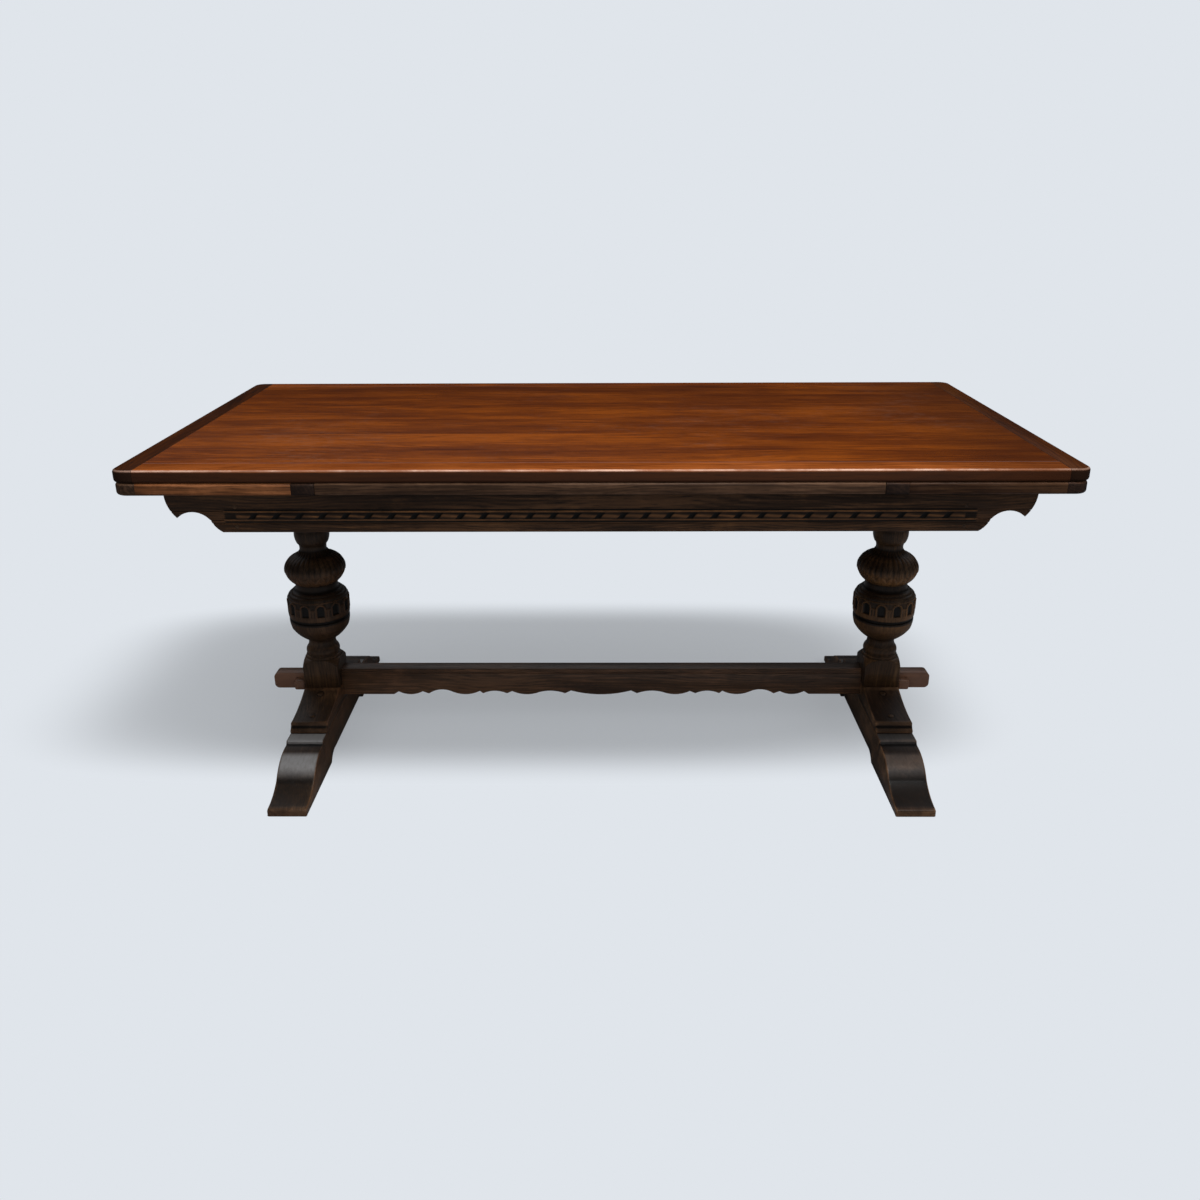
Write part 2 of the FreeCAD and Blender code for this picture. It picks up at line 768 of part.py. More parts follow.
def build_saddle(label, place):
    """The saddle between foot and column: a flat seat and a hollow slope each way."""
    saddle = new_part(label, x=place, z=s.foot_high)
    shoulder, fall = s.saddle_shoulder_half, s.saddle_high - s.saddle_shoulder_high
    run = s.saddle_seat_half - shoulder
    lip = s.saddle_half - shoulder
    climb = s.saddle_shoulder_high - s.saddle_fillet
    half = [
        (s.saddle_half, ZERO),
        (s.saddle_half, s.saddle_fillet),
        (shoulder, s.saddle_shoulder_high, shoulder + lip * 0.30, s.saddle_fillet + climb * 0.30),
        (
            s.saddle_seat_half,
            s.saddle_high,
            shoulder + run * 0.52,
            s.saddle_shoulder_high + fall * 0.28,
        ),
    ]
    add_pad(saddle, add_outline(saddle, "YZ_Plane", mirrored(half)), s.post_side)
    low = (-tenon_half, -tenon_half, ZERO)
    size = (s.post_tenon_side, s.post_tenon_side, s.saddle_high)
    add_block(saddle, low, size, cut=True)
    through_z = s.through_low - s.foot_high
    low = (-post_half, -s.through_thick / 2, through_z)
    size = (s.post_side, s.through_thick, s.saddle_high - through_z)
    add_block(saddle, low, size, cut=True)
    return saddle


def build_bearer(label, place):
    """The bearer on a column's head, hidden inside the frame."""
    bearer = new_part(label, x=place, z=bearer_low)
    end_low = s.bearer_high - s.bearer_end_high
    run = s.bearer_half - s.bearer_flat_half
    half = [
        (s.bearer_flat_half, ZERO),
        (s.bearer_half, end_low, s.bearer_flat_half + run * 0.45, end_low * 0.25),
        (s.bearer_half, s.bearer_high),
    ]
    add_pad(bearer, add_outline(bearer, "YZ_Plane", mirrored(half)), s.post_side)
    low = (-tenon_half, -tenon_half, ZERO)
    size = (s.post_tenon_side, s.post_tenon_side, s.bearer_tenon_deep)
    add_block(bearer, low, size, cut=True)
    return bearer


def peg_rows():
    """Where the saddle's pegs stand across the table, and how high up the saddle."""
    for across in ROWS.values():
        yield s.saddle_peg_near * across, s.saddle_high * 0.90
        yield s.saddle_peg_far * across, s.saddle_high * 0.54


for side, way in SIDES.items():
    place = trestle_place * way
    foot = build_foot(f"sledge_foot_{side}", place)
    saddle = build_saddle(f"foot_saddle_{side}", place)
    pegs = new_part(f"saddle_pegs_{side}", x=place, z=s.foot_high)
    for spot, high in peg_rows():
        deep = s.saddle_peg_deep
        add_rod(saddle, (ZERO, spot, ZERO), s.saddle_peg_radius, s.saddle_high, cut=True)
        low = (ZERO, spot, s.foot_high - deep)
        add_rod(foot, low, s.saddle_peg_radius, deep, cut=True)
        add_rod(pegs, (ZERO, spot, -deep), s.saddle_peg_radius, deep + high)
    build_column(f"turned_column_{side}", place)
    bearer = build_bearer(f"top_bearer_{side}", place)
    offset = (end_rail_place - trestle_place) * way
    head_seat = s.bearer_high - s.bearer_end_high
    for across in ROWS.values():
        low = (offset, s.bearer_screw_spread * across, ZERO)
        add_rod(bearer, low, s.bearer_screw_radius, s.bearer_high, cut=True)
        add_rod(bearer, low, s.bearer_screw_head, head_seat, cut=True)

bearer_screws = new_part("bearer_screws", z=apron_low - s.bearer_end_high)
for way in SIDES.values():
    for across in ROWS.values():
        low = (end_rail_place * way, s.bearer_screw_spread * across, ZERO)
        long = s.bearer_end_high + s.bearer_screw_bite
        add_rod(bearer_screws, low, s.bearer_screw_radius, long)
        low = (low[0], low[1], -s.screw_head_high)
        add_rod(bearer_screws, low, s.bearer_screw_head, s.screw_head_high)

# Stretcher, with a through tenon at each end held by a tapered wedge
through_half = block_face + s.through_reach
wedge_middle = s.wedge_low + s.wedge_high / 2
wedge_half = s.through_thick / 2 + s.wedge_proud


def wedge_corners(inner):
    """A wedge seen from above: straight against the block, tapered on its outer side."""
    return [
        (inner, -wedge_half),
        (inner + s.wedge_wide, -wedge_half),
        (inner + s.wedge_wide - s.wedge_taper, wedge_half),
        (inner, wedge_half),
    ]


stretcher = new_part("stretcher", z=s.stretcher_low)
half = from_shares(SCALLOP_SHARES, ZERO, stretcher_half, ZERO, s.scallop_deep)
half.append((stretcher_half, s.stretcher_high))
add_pad(stretcher, add_outline(stretcher, "XZ_Plane", mirrored(half)), s.stretcher_thick)
low_z = s.through_low - s.stretcher_low
high_z = low_z + s.through_high
bend = s.through_round
near = bend * CORNER_SHARE
half = [
    (through_half - bend, low_z),
    (through_half, low_z + bend, through_half - near, low_z + near),
    (through_half, high_z - bend),
    (through_half - bend, high_z, through_half - near, high_z - near),
]
add_pad(stretcher, add_outline(stretcher, "XZ_Plane", mirrored(half)), s.through_thick)
beads = (
    (s.stretcher_bead_drop, s.stretcher_bead_wide, s.stretcher_bead_deep),
    (s.bead_wide * 2, s.bead_wide, s.bead_deep),
)
for across in ROWS.values():
    face = s.stretcher_thick / 2
    for drop, wide, deep in beads:
        y = face - deep if across > 0 else -face
        low = (-stretcher_half, y, s.stretcher_high - drop)
        add_block(stretcher, low, (stretcher_half * 2, deep, wide), cut=True)
for way in SIDES.values():
    corners = [(x * way, y) for x, y in wedge_corners(block_face)]
    rise = wedge_middle - s.stretcher_low
    sketch = add_outline(stretcher, "XY_Plane", corners, rise=rise)
    add_pad(stretcher, sketch, s.wedge_high, cut=True)

for side, way in SIDES.items():
    wedge = new_part(f"tusk_wedge_{side}", x=block_face * way, z=wedge_middle)
    corners = [(x * way, y) for x, y in wedge_corners(ZERO)]
    add_pad(wedge, add_outline(wedge, "XY_Plane", corners), s.wedge_high)

doc.recompute()

for thing in doc.Objects:
    if "Invalid" in thing.State or "Error" in thing.State:
        raise RuntimeError(f"{thing.Label} did not build: {thing.State}")

os.makedirs("parts", exist_ok=True)
for node in nodes:
    if node.Shape.isNull() or not node.Shape.isValid():
        raise RuntimeError(f"{node.Label} has no sound shape")
    node.Shape.exportStep(f"parts/{node.Label}.step")
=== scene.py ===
"""An antique oak draw-leaf dining table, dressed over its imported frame.

The loose top and the leaves are red-brown oak with a waxed face. The trestle ends, the
aprons and the stretcher are stained nearly black, and rubbed brown where hands and shoes
touch them. Lengths are in metres in the scene, and in millimetres where a name ends in mm.
"""

import logging
import math
from dataclasses import dataclass, replace
from enum import Enum
from typing import Any, Mapping, Optional, Sequence

import bmesh
import bpy
import numpy as np
from mathutils import Euler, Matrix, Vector
from numpy.typing import NDArray


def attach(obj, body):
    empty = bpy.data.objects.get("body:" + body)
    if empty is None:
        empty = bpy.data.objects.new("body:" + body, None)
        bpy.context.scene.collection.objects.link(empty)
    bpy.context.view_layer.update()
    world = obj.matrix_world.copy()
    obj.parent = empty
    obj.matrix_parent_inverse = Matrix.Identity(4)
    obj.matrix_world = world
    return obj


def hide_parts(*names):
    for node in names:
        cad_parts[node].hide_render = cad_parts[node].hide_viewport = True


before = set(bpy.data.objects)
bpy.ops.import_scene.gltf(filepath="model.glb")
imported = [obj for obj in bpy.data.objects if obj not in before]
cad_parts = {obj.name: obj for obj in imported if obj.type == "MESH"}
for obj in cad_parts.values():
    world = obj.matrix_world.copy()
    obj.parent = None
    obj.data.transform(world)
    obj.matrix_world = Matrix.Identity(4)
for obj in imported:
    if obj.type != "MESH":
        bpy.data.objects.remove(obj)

LOG = logging.getLogger("dining_table")
MM = 0.001
TRESTLE_MM = 682.0
SIDES = ("left", "right")

Array = NDArray[np.float64]
Socket = bpy.types.NodeSocket
Pair = tuple[float, float]
Three = tuple[float, float, float]
Corners = Sequence[Sequence[float]]
# Waves to the metre along X and across it, then detail and roughness
Pattern = tuple[Pair, float, float]


# Colour and nodes


def linear(hex_code: str) -> tuple[float, float, float, float]:
    """Turns an sRGB hex colour to the linear colour that the shaders take.

    Args:
        hex_code: Six hex digits, such as "6d3817".

    Returns:
        Linear red, green, blue and an alpha of one.
    """
    channels = [int(hex_code[i:i + 2], 16) / 255 for i in (0, 2, 4)]
    bright = [c / 12.92 if c <= 0.04045 else ((c + 0.055) / 1.055) ** 2.4 for c in channels]
    return (bright[0], bright[1], bright[2], 1.0)


def add_node(
    tree: bpy.types.NodeTree,
    kind: str,
    settings: Optional[Mapping[str, Any]] = None,
    inputs: Optional[Mapping[Any, Any]] = None,
) -> bpy.types.Node:
    """Adds one node with its settings, its values and its links.

    Args:
        tree: The node tree that gets the node.
        kind: The node's type name, without the "ShaderNode" before it.
        settings: Properties of the node by name.
        inputs: Values by socket name or number; a socket as a value is linked.

    Returns:
        The new node.
    """
    node = tree.nodes.new(f"ShaderNode{kind}")
    for name, value in (settings or {}).items():
        setattr(node, name, value)
    for socket, value in (inputs or {}).items():
        if isinstance(value, bpy.types.NodeSocket):
            tree.links.new(value, node.inputs[socket])
        else:
            node.inputs[socket].default_value = value
    return node


@dataclass(frozen=True)
class Graph:
    """A node tree with short ways to add the nodes that come up most.

    A value may be a number or a socket.
    """

    tree: bpy.types.NodeTree

    def math(self, operation: str, *values: Any, clamp: bool = False) -> Socket:
        """One step of arithmetic."""
        settings = {"operation": operation, "use_clamp": clamp}
        return add_node(self.tree, "Math", settings, dict(enumerate(values))).outputs[0]

    def vector(self, operation: str, *values: Any) -> bpy.types.Node:
        """One step of vector arithmetic."""
        settings = {"operation": operation}
        return add_node(self.tree, "VectorMath", settings, dict(enumerate(values)))

    def scaled(
        self, value: Any, limits: tuple[Any, Any], ends: Pair = (0.0, 1.0), kind: str = "LINEAR"
    ) -> Socket:
        """A value that is moved from between its limits to between two ends."""
        inputs = dict(enumerate((value, *limits, *ends)))
        return add_node(self.tree, "MapRange", {"interpolation_type": kind}, inputs).outputs[0]

    def fade(self, value: Any, limits: tuple[Any, Any], ends: Pair = (0.0, 1.0)) -> Socket:
        """The same, with a smooth start and a smooth end."""
        return self.scaled(value, limits, ends, "SMOOTHSTEP")

    def noise(self, place: Socket, scale: float, detail: float, roughness: float) -> Socket:
        """Clouds of noise between zero and one."""
        inputs = {"Vector": place, "Scale": scale, "Detail": detail, "Roughness": roughness}
        return add_node(self.tree, "TexNoise", None, inputs).outputs[0]

    def grained(self, place: Socket, waves: Pair, detail: float, roughness: float) -> Socket:
        """Noise drawn out along X, from its waves to the metre along X and across it."""
        along, across = waves
        inputs = {"Vector": place, "Scale": (along, across, across)}
        stretched = add_node(self.tree, "Mapping", None, inputs).outputs[0]
        return self.noise(stretched, 1.0, detail, roughness)

    def blend(self, share: Any, under: Any, over: Any) -> Socket:
        """One colour laid over another by a share."""
        inputs = {0: share, 6: under, 7: over}
        return add_node(self.tree, "Mix", {"data_type": "RGBA"}, inputs).outputs[2]

    def place(self) -> Socket:
        """The place in the object's own coordinates."""
        return add_node(self.tree, "TexCoord").outputs["Object"]

    def split(self, vector: Socket) -> Sequence[Socket]:
        """The three parts of a vector."""
        return add_node(self.tree, "SeparateXYZ", None, {0: vector}).outputs

    def facing_up(self) -> Socket:
        """The height of the face's unit normal, from minus one to one."""
        return self.split(add_node(self.tree, "NewGeometry").outputs["True Normal"])[2]

    def attribute(self, name: str) -> Socket:
        """A number that the mesh holds at each point, or zero where it has none."""
        return add_node(self.tree, "Attribute", {"attribute_name": name}).outputs[2]

    def bump(self, strength: float, depth_mm: float, height: Socket) -> Socket:
        """The normal of a surface with small relief."""
        inputs = {"Strength": strength, "Distance": depth_mm * MM, "Height": height}
        return add_node(self.tree, "Bump", None, inputs).outputs[0]

    def principled(self, inputs: Mapping[str, Any]) -> Socket:
        """An ordinary opaque surface."""
        return add_node(self.tree, "BsdfPrincipled", None, inputs).outputs[0]

    def mix_shader(self, share: Any, under: Socket, over: Socket) -> Socket:
        """One shader laid over another by a share."""
        return add_node(self.tree, "MixShader", None, {0: share, 1: under, 2: over}).outputs[0]

    def finish(self, surface: Socket, kind: str = "OutputMaterial") -> None:
        """Ends the tree in its output."""
        add_node(self.tree, kind, None, {"Surface": surface})


def empty_graph(owner: Any) -> Graph:
    """Turns on the nodes of a material or a world and clears them.

    Args:
        owner: The material or the world.

    Returns:
        Its graph, without nodes.
    """
    owner.use_nodes = True
    owner.node_tree.nodes.clear()
    return Graph(owner.node_tree)


class Grain(Enum):
    """The way a board's grain runs, as the turn that lays it along the pattern's X."""

    LONG = (0.0, 0.0, 0.0)
    ACROSS = (0.0, 0.0, math.pi / 2)
    UPRIGHT = (0.0, math.pi / 2, 0.0)


@dataclass(frozen=True)
class OakFinish:
    """Stained and waxed oak, flat sawn, with open pores and a rubbed surface.

    The pattern is worked out in the object's own coordinates: rings that wander along the
    board, fine streaks and dark pores along the grain, broad changes of tone, and boards
    that differ a little. Pores are drawn wider than the real 0.3 mm so that they show.
    A slope is given by the height of the face's unit normal. A cloud is given by its scale,
    detail and roughness.
    """

    name: str
    dark: str
    middle: str
    light: str
    pore: str
    rubbed_and_highlight: str
    grime_and_shade: str
    rubbed_and_highlight_share: float = 0.3
    slope_share: float = 1.0
    under_share: float = 0.0
    face_wear: float = 0.0
    grime_and_shade_share: float = 0.0
    end_colour: str = "000000"
    end_mm: Optional[Pair] = None
    end_share: float = 0.0
    end_both: bool = True
    seam_mm: Optional[float] = None
    joints_mm: Optional[Pair] = None
    roughness: float = 0.42
    specular: float = 0.35
    bloom_and_sheen: float = 0.0
    ring_mm: float = 9.0
    board_mm: float = 0.0
    bump: float = 0.25
    # What all the oak has in common
    pore_mm: float = 1.1
    pore_stretch: float = 0.035
    pore_start: Pair = (0.52, 0.62)
    pore_edge: float = 0.13
    pore_depth: float = 0.7
    pore_noise: Pair = (2.0, 0.6)
    arches: Pattern = ((1.3, 7.0), 3.0, 0.5)
    arch_m: float = 0.16
    streaks: Pattern = ((6.0, 170.0), 5.0, 0.7)
    tones: Pattern = ((2.6, 12.0), 6.0, 0.62)
    tone_stops: Three = (0.60, 0.83, 1.0)
    ring_share: float = 0.09
    streak_share: float = 0.62
    board_shift: float = 7.0
    arris_slope: Pair = (0.35, 0.70)
    flat_slope: Pair = (0.90, 0.995)
    under_slope: Pair = (-0.12, -0.55)
    steep_slope: Pair = (0.75, 0.2)
    patch_cloud: Three = (11.0, 6.0, 0.66)
    patch_limits: Pair = (0.38, 0.66)
    patch_least: float = 0.25
    worn_limits: Pair = (1.0, 1.35)
    painted_sheen_colour: str = "8d8c8c"
    end_cloud: Three = (9.0, 4.0, 0.6)
    end_ragged: float = 0.5
    seam_edge_mm: Pair = (1.0, 2.6)
    seam_highlight_share: float = 0.18
    seam_highlight_colour: str = "8f7f84"
    specks: Pattern = ((45.0, 150.0), 3.0, 0.7)
    wax_cloud: Three = (3.1, 4.0, 0.6)
    wax_share: float = 0.9
    bloom_and_sheen_limits: Pair = (1.02, 1.22)
    bloom_and_sheen_slope: Pair = (0.8, 0.98)
    bloom_and_sheen_colour: str = "857a72"
    dull_share: float = 0.16
    dull_pores: float = 0.22
    relief_mm: float = 0.6

    def dress(self, grain: Grain) -> bpy.types.Material:
        """Builds the finish for boards whose grain runs one way.

        Args:
            grain: The way the grain runs.

        Returns:
            The material, made once for each name and grain.
        """
        label = f"{self.name}_{grain.name.lower()}"
        known = bpy.data.materials.get(label)
        if known:
            return known
        material = bpy.data.materials.new(label)
        graph = empty_graph(material)
        place = self._board_place(graph, grain)
        rings = self._rings(graph, place)
        pores = self._pores(graph, place, rings)
        streaks = graph.grained(place, *self.streaks)
        colour = graph.blend(pores, self._tone(graph, place, rings, streaks), linear(self.pore))
        colour = self._wear_shade_and_sheen(graph, colour, streaks)
        colour = self._seam_highlight(graph, self._ends(graph, colour))
        roughness, colour = self._bloom_and_sheen(graph, colour, pores)
        height = graph.math("MULTIPLY_ADD", pores, -1.0, streaks)
        surface = graph.principled(
            {
                "Base Color": colour,
                "Roughness": roughness,
                "Normal": graph.bump(self.bump, self.relief_mm, height),
                "IOR": 1.5,
                "Specular IOR Level": self.specular,
            }
        )
        graph.finish(surface)
        material.diffuse_color = linear(self.middle)
        return material

    def _board_place(self, graph: Graph, grain: Grain) -> Socket:
        """The place on the board, with X along the grain and each board set apart."""
        inputs = {"Vector": graph.place(), "Rotation": grain.value}
        turned = add_node(graph.tree, "Mapping", None, inputs).outputs[0]
        if not self.board_mm:
            return turned
        across = graph.split(turned)[1]
        board = graph.math("FLOOR", graph.math("DIVIDE", across, self.board_mm * MM))
        flat = {"noise_dimensions": "1D"}
        chance = add_node(graph.tree, "TexWhiteNoise", flat, {1: board}).outputs["Color"]
        shift = graph.vector("MULTIPLY", chance, (self.board_shift,) * 3).outputs[0]
        return graph.vector("ADD", turned, shift).outputs[0]

    def _rings(self, graph: Graph, place: Socket) -> Socket:
        """Growth rings as bands across the board that a slow noise bends into arches."""
        slow = graph.grained(place, *self.arches)
        _, across, through = graph.split(place)
        bent = graph.math("MULTIPLY_ADD", slow, self.arch_m, graph.math("ADD", across, through))
        turns = graph.math("MULTIPLY", bent, 2 * math.pi / (self.ring_mm * MM))
        return graph.scaled(graph.math("SINE", turns), (-1.0, 1.0))

    def _pores(self, graph: Graph, place: Socket, rings: Socket) -> Socket:
        """Open pores: thin streaks along the grain, thickest in the early wood."""
        across = 1 / (self.pore_mm * MM)
        fine = graph.grained(place, (self.pore_stretch * across, across), *self.pore_noise)
        early = graph.scaled(rings, (0.0, 1.0), self.pore_start)
        late = graph.math("ADD", early, self.pore_edge)
        return graph.fade(fine, (early, late), (0.0, self.pore_depth))

    def _tone(self, graph: Graph, place: Socket, rings: Socket, streaks: Socket) -> Socket:
        """The wood's colour: broad patches of tone, with rings and streaks laid over them."""
        broad = graph.grained(place, *self.tones)
        ringed = graph.math("MULTIPLY_ADD", rings, self.ring_share, broad)
        mixed = graph.math("MULTIPLY_ADD", streaks, self.streak_share, ringed)
        ramp = add_node(graph.tree, "ValToRGB", None, {0: mixed})
        low, middle, high = self.tone_stops
        stops = ramp.color_ramp.elements
        stops[0].position, stops[0].color = low, linear(self.dark)
        stops[1].position, stops[1].color = high, linear(self.light)
        stops.new(middle).color = linear(self.middle)
        return ramp.outputs[0]

    def _wear_shade_and_sheen(self, graph: Graph, colour: Socket, streaks: Socket) -> Socket:
        """Rubbed brown on rounded upper edges and raised carving, partly a painted highlight;
        steep and lower faces darkened by soiling and painted shade; hollows darker.

        The attribute relief is above zero where a carved surface stands proud and below
        zero in its hollows, and on the columns it also carries painted light and painted shade.
        A plain piece has none, and then only its slopes count. Another attribute tells where
        a foot gets a grey painted sheen, a painted reflection.
        """
        up = graph.facing_up()
        patch = graph.noise(graph.place(), *self.patch_cloud)
        relief = graph.attribute("relief")
        rise = graph.fade(up, self.arris_slope, (0.0, self.slope_share))
        fall = graph.fade(up, self.flat_slope, (1.0, 0.0))
        arris, joint = self._arris_and_joint(graph, graph.math("MULTIPLY", rise, fall), fall)
        # The lower arris takes the same pale colour: wear together with a painted highlight
        if self.under_share:
            flat_below = (-self.flat_slope[0], -self.flat_slope[1])
            sink = graph.fade(up, self.under_slope, (0.0, self.under_share))
            flat = graph.fade(up, flat_below, (1.0, 0.0))
            arris = graph.math("MULTIPLY_ADD", sink, flat, arris)
        proud = graph.math("ADD", arris, relief, clamp=True)
        blotch = graph.fade(patch, self.patch_limits, (self.patch_least, 1.0))
        rubbed_and_highlight = graph.math("MULTIPLY", proud, blotch)
        wear_and_painted_light = graph.math("ADD", patch, streaks)
        face = graph.fade(wear_and_painted_light, self.worn_limits, (0.0, self.face_wear))
        share = graph.math("MULTIPLY_ADD", rubbed_and_highlight, self.rubbed_and_highlight_share, face, clamp=True)
        colour = graph.blend(share, colour, linear(self.rubbed_and_highlight))
        # Steep and downward faces are darkened: soiling together with painted shade from the light
        # above
        steep = graph.scaled(up, self.steep_slope, (0.0, self.grime_and_shade_share))
        darkening = graph.math("MAXIMUM", steep, graph.math("MULTIPLY", relief, -1.0, clamp=True))
        if joint is not None:
            darkening = graph.math("MAXIMUM", darkening, joint)
        colour = graph.blend(darkening, colour, linear(self.grime_and_shade))
        # A grey painted sheen on the feet, a painted reflection of the light
        sheen_share = graph.math("MULTIPLY", graph.attribute("scuff"), wear_and_painted_light, clamp=True)
        return graph.blend(sheen_share, colour, linear(self.painted_sheen_colour))

    def _arris_and_joint(
        self, graph: Graph, slope: Socket, fall: Socket
    ) -> tuple[Socket, Optional[Socket]]:
        """Tells the outer arris of a framed board, which is rubbed and carries a painted highlight,
        from its dirty joints.
        """
        if self.joints_mm is None:
            return slope, None
        off = graph.split(graph.vector("ABSOLUTE", graph.place()).outputs[0])
        beyond = [
            graph.math("GREATER_THAN", off[axis], limit * MM)
            for axis, limit in enumerate(self.joints_mm)
        ]
        outside = graph.math("MAXIMUM", *beyond)
        inside = graph.math("SUBTRACT", 1.0, outside)
        return graph.math("MULTIPLY", slope, outside), graph.math("MULTIPLY", fall, inside)

    def _ends(self, graph: Graph, colour: Socket) -> Socket:
        """Another colour toward the ends, with a ragged edge: painted shade at the top's right end,
        and rubbed wear on the stretcher's tenons.
        """
        if self.end_mm is None:
            return colour
        start, full = self.end_mm
        outward = graph.split(graph.place())[0]
        if self.end_both:
            outward = graph.math("ABSOLUTE", outward)
        cloud = graph.noise(graph.place(), *self.end_cloud)
        reach = self.end_ragged * (full - start) * MM
        ragged = graph.math("MULTIPLY_ADD", cloud, reach, outward)
        share = graph.fade(ragged, (start * MM, full * MM), (0.0, self.end_share))
        return graph.blend(share, colour, linear(self.end_colour))

    def _seam_highlight(self, graph: Graph, colour: Socket) -> Socket:
        """A painted highlight: the pale line where the front rail's edge at a long joint catches
        the light.
        """
        if self.seam_mm is None:
            return colour
        off = graph.math("SUBTRACT", graph.split(graph.place())[1], self.seam_mm * MM)
        near, far = self.seam_edge_mm
        away = graph.math("ABSOLUTE", off)
        line = graph.fade(away, (near * MM, far * MM), (self.seam_highlight_share, 0.0))
        return graph.blend(line, colour, linear(self.seam_highlight_colour))

    def _bloom_and_sheen(self, graph: Graph, colour: Socket, pores: Socket) -> tuple[Socket, Socket]:
        """Old wax and a painted sheen: grey specks on upper faces, wax bloom together with painted
        glints of light, dull patches on the face, and rougher pores.
        """
        speck = graph.grained(graph.place(), *self.specks)
        cloud = graph.noise(graph.place(), *self.wax_cloud)
        both = graph.math("MULTIPLY_ADD", cloud, self.wax_share, speck)
        haze = graph.fade(both, self.bloom_and_sheen_limits, (0.0, self.bloom_and_sheen))
        lying = graph.math("MULTIPLY", haze, graph.scaled(graph.facing_up(), self.bloom_and_sheen_slope))
        colour = graph.blend(lying, colour, linear(self.bloom_and_sheen_colour))
        least = self.roughness - self.dull_share / 2
        dull = graph.math("MULTIPLY_ADD", cloud, self.dull_share, least)
        return graph.math("MULTIPLY_ADD", pores, self.dull_pores, dull, clamp=True), colour


@dataclass(frozen=True)
class ScrewSteel:
    """Old turned steel, darkened and slightly pitted, which gives a dull grey glint."""

    name: str = "screw_steel"
    colour: str = "6b6763"
    roughness: float = 0.33
    pits: Three = (400.0, 3.0, 0.5)
    pit_roughness: float = 0.25
    pit_mm: float = 0.1
    pit_bump: float = 0.2

    def dress(self) -> bpy.types.Material:
        """Builds the steel, once.

        Returns:
            The material.
        """
        known = bpy.data.materials.get(self.name)
        if known:
            return known
        material = bpy.data.materials.new(self.name)
        graph = empty_graph(material)
        pits = graph.noise(graph.place(), *self.pits)
        surface = graph.principled(
            {
                "Base Color": linear(self.colour),
                "Metallic": 1.0,
                "Roughness": graph.math(
                    "MULTIPLY_ADD", pits, self.pit_roughness, self.roughness
                ),
                "Normal": graph.bump(self.pit_bump, self.pit_mm, pits),
            }
        )
        graph.finish(surface)
        return material


# The loose top's panel and back rail: red-brown stained oak under old wax. A painted highlight
# lies on its upper arris, painted shade on its edges and toward its right end, and a painted
# sheen on its face
TOP_OAK = OakFinish(
    name="red_brown_oak_top", dark="461c06", middle="612c07", light="82400b", pore="2f1507",
    rubbed_and_highlight="dcb5a0", grime_and_shade="35251d", rubbed_and_highlight_share=1.0, grime_and_shade_share=0.9, roughness=0.30,
    specular=0.03, bloom_and_sheen=0.07, ring_mm=11.0, board_mm=152.0, end_colour="3a1c0b",
    end_mm=(620.0, 980.0), end_share=0.5, end_both=False, seam_mm=-400.0,
    joints_mm=(908.0, 447.0),
)
# The rail along the front edge: the same oak in lighter colours, painted light that falls on the
# table's front
TOP_FRONT_LIT_OAK = replace(
    TOP_OAK, name="painted_light_oak_front_rail", dark="642a0a", middle="874416", light="a05522",
    bloom_and_sheen=0.05,
)
# The cleats across the top's ends: the same oak, dark with old polish
CLEAT_OAK = replace(
    TOP_OAK, name="dark_polished_oak_cleat", dark="2a1205", middle="3d1c06", light="4c270a",
    pore="1e0e05", rubbed_and_highlight="b39382", grime_and_shade="251a14", rubbed_and_highlight_share=0.7, bloom_and_sheen=0.05, ring_mm=9.0,
    board_mm=0.0, end_mm=None, seam_mm=None,
)
# The leaves: brown oak, worn to orange along the edges
LEAF_OAK = OakFinish(
    name="brown_oak_leaf", dark="3e2614", middle="5d3820", light="83512f", pore="26160d",
    rubbed_and_highlight="ad6f46", grime_and_shade="2c1d15", rubbed_and_highlight_share=0.25, under_share=0.4, face_wear=0.8,
    grime_and_shade_share=0.1, roughness=0.45, specular=0.15, bloom_and_sheen=0.05, ring_mm=8.0,
    joints_mm=(906.0, 440.0),
)
# The right leaf's rails: the same oak, which has kept its dark stain
LEAF_DARK_OAK = replace(
    LEAF_OAK, name="dark_brown_oak_leaf", dark="23150d", middle="342013", light="48301e",
    pore="180e08", rubbed_and_highlight="7d5b46", rubbed_and_highlight_share=0.35, under_share=0.8, face_wear=0.15,
)
# The leaves' cleats: the same oak, nearly black at its end grain
LEAF_CLEAT_OAK = replace(
    LEAF_OAK, name="dark_oak_leaf_cleat", dark="1c1310", middle="2a1d17", light="3c2a20",
    pore="140d0a", rubbed_and_highlight="6b4a36", grime_and_shade="1c1410", rubbed_and_highlight_share=0.5, under_share=0.0,
    face_wear=0.0, grime_and_shade_share=0.3, bloom_and_sheen=0.0,
)
# The fixed centre board, between the leaves: the same oak, less handled
BOARD_OAK = replace(
    LEAF_OAK, name="brown_oak_centre_board", dark="2c1e15", middle="402d20", light="583f2e",
    pore="1e140e", rubbed_and_highlight="8f6c53", grime_and_shade="2c1f17", rubbed_and_highlight_share=0.45, under_share=0.9,
    face_wear=0.25, joints_mm=None,
)
# The frame: oak stained black-brown and rubbed where hands and shoes touch it
FRAME_OAK = OakFinish(
    name="black_brown_oak_frame", dark="24190f", middle="38281b", light="4f3a28", pore="160f0a",
    rubbed_and_highlight="80583a", grime_and_shade="0e0a07", rubbed_and_highlight_share=0.5, slope_share=0.2, face_wear=0.12,
    roughness=0.36, specular=0.32, ring_mm=7.0, bump=0.3,
)
# The right column: the same oak in lighter, warmer colours, painted light from the right
LIT_FRAME_OAK = replace(
    FRAME_OAK, name="painted_light_oak_right_column", dark="261a10", middle="3c2a1b", light="543e29",
    rubbed_and_highlight="94683f", rubbed_and_highlight_share=0.75,
)
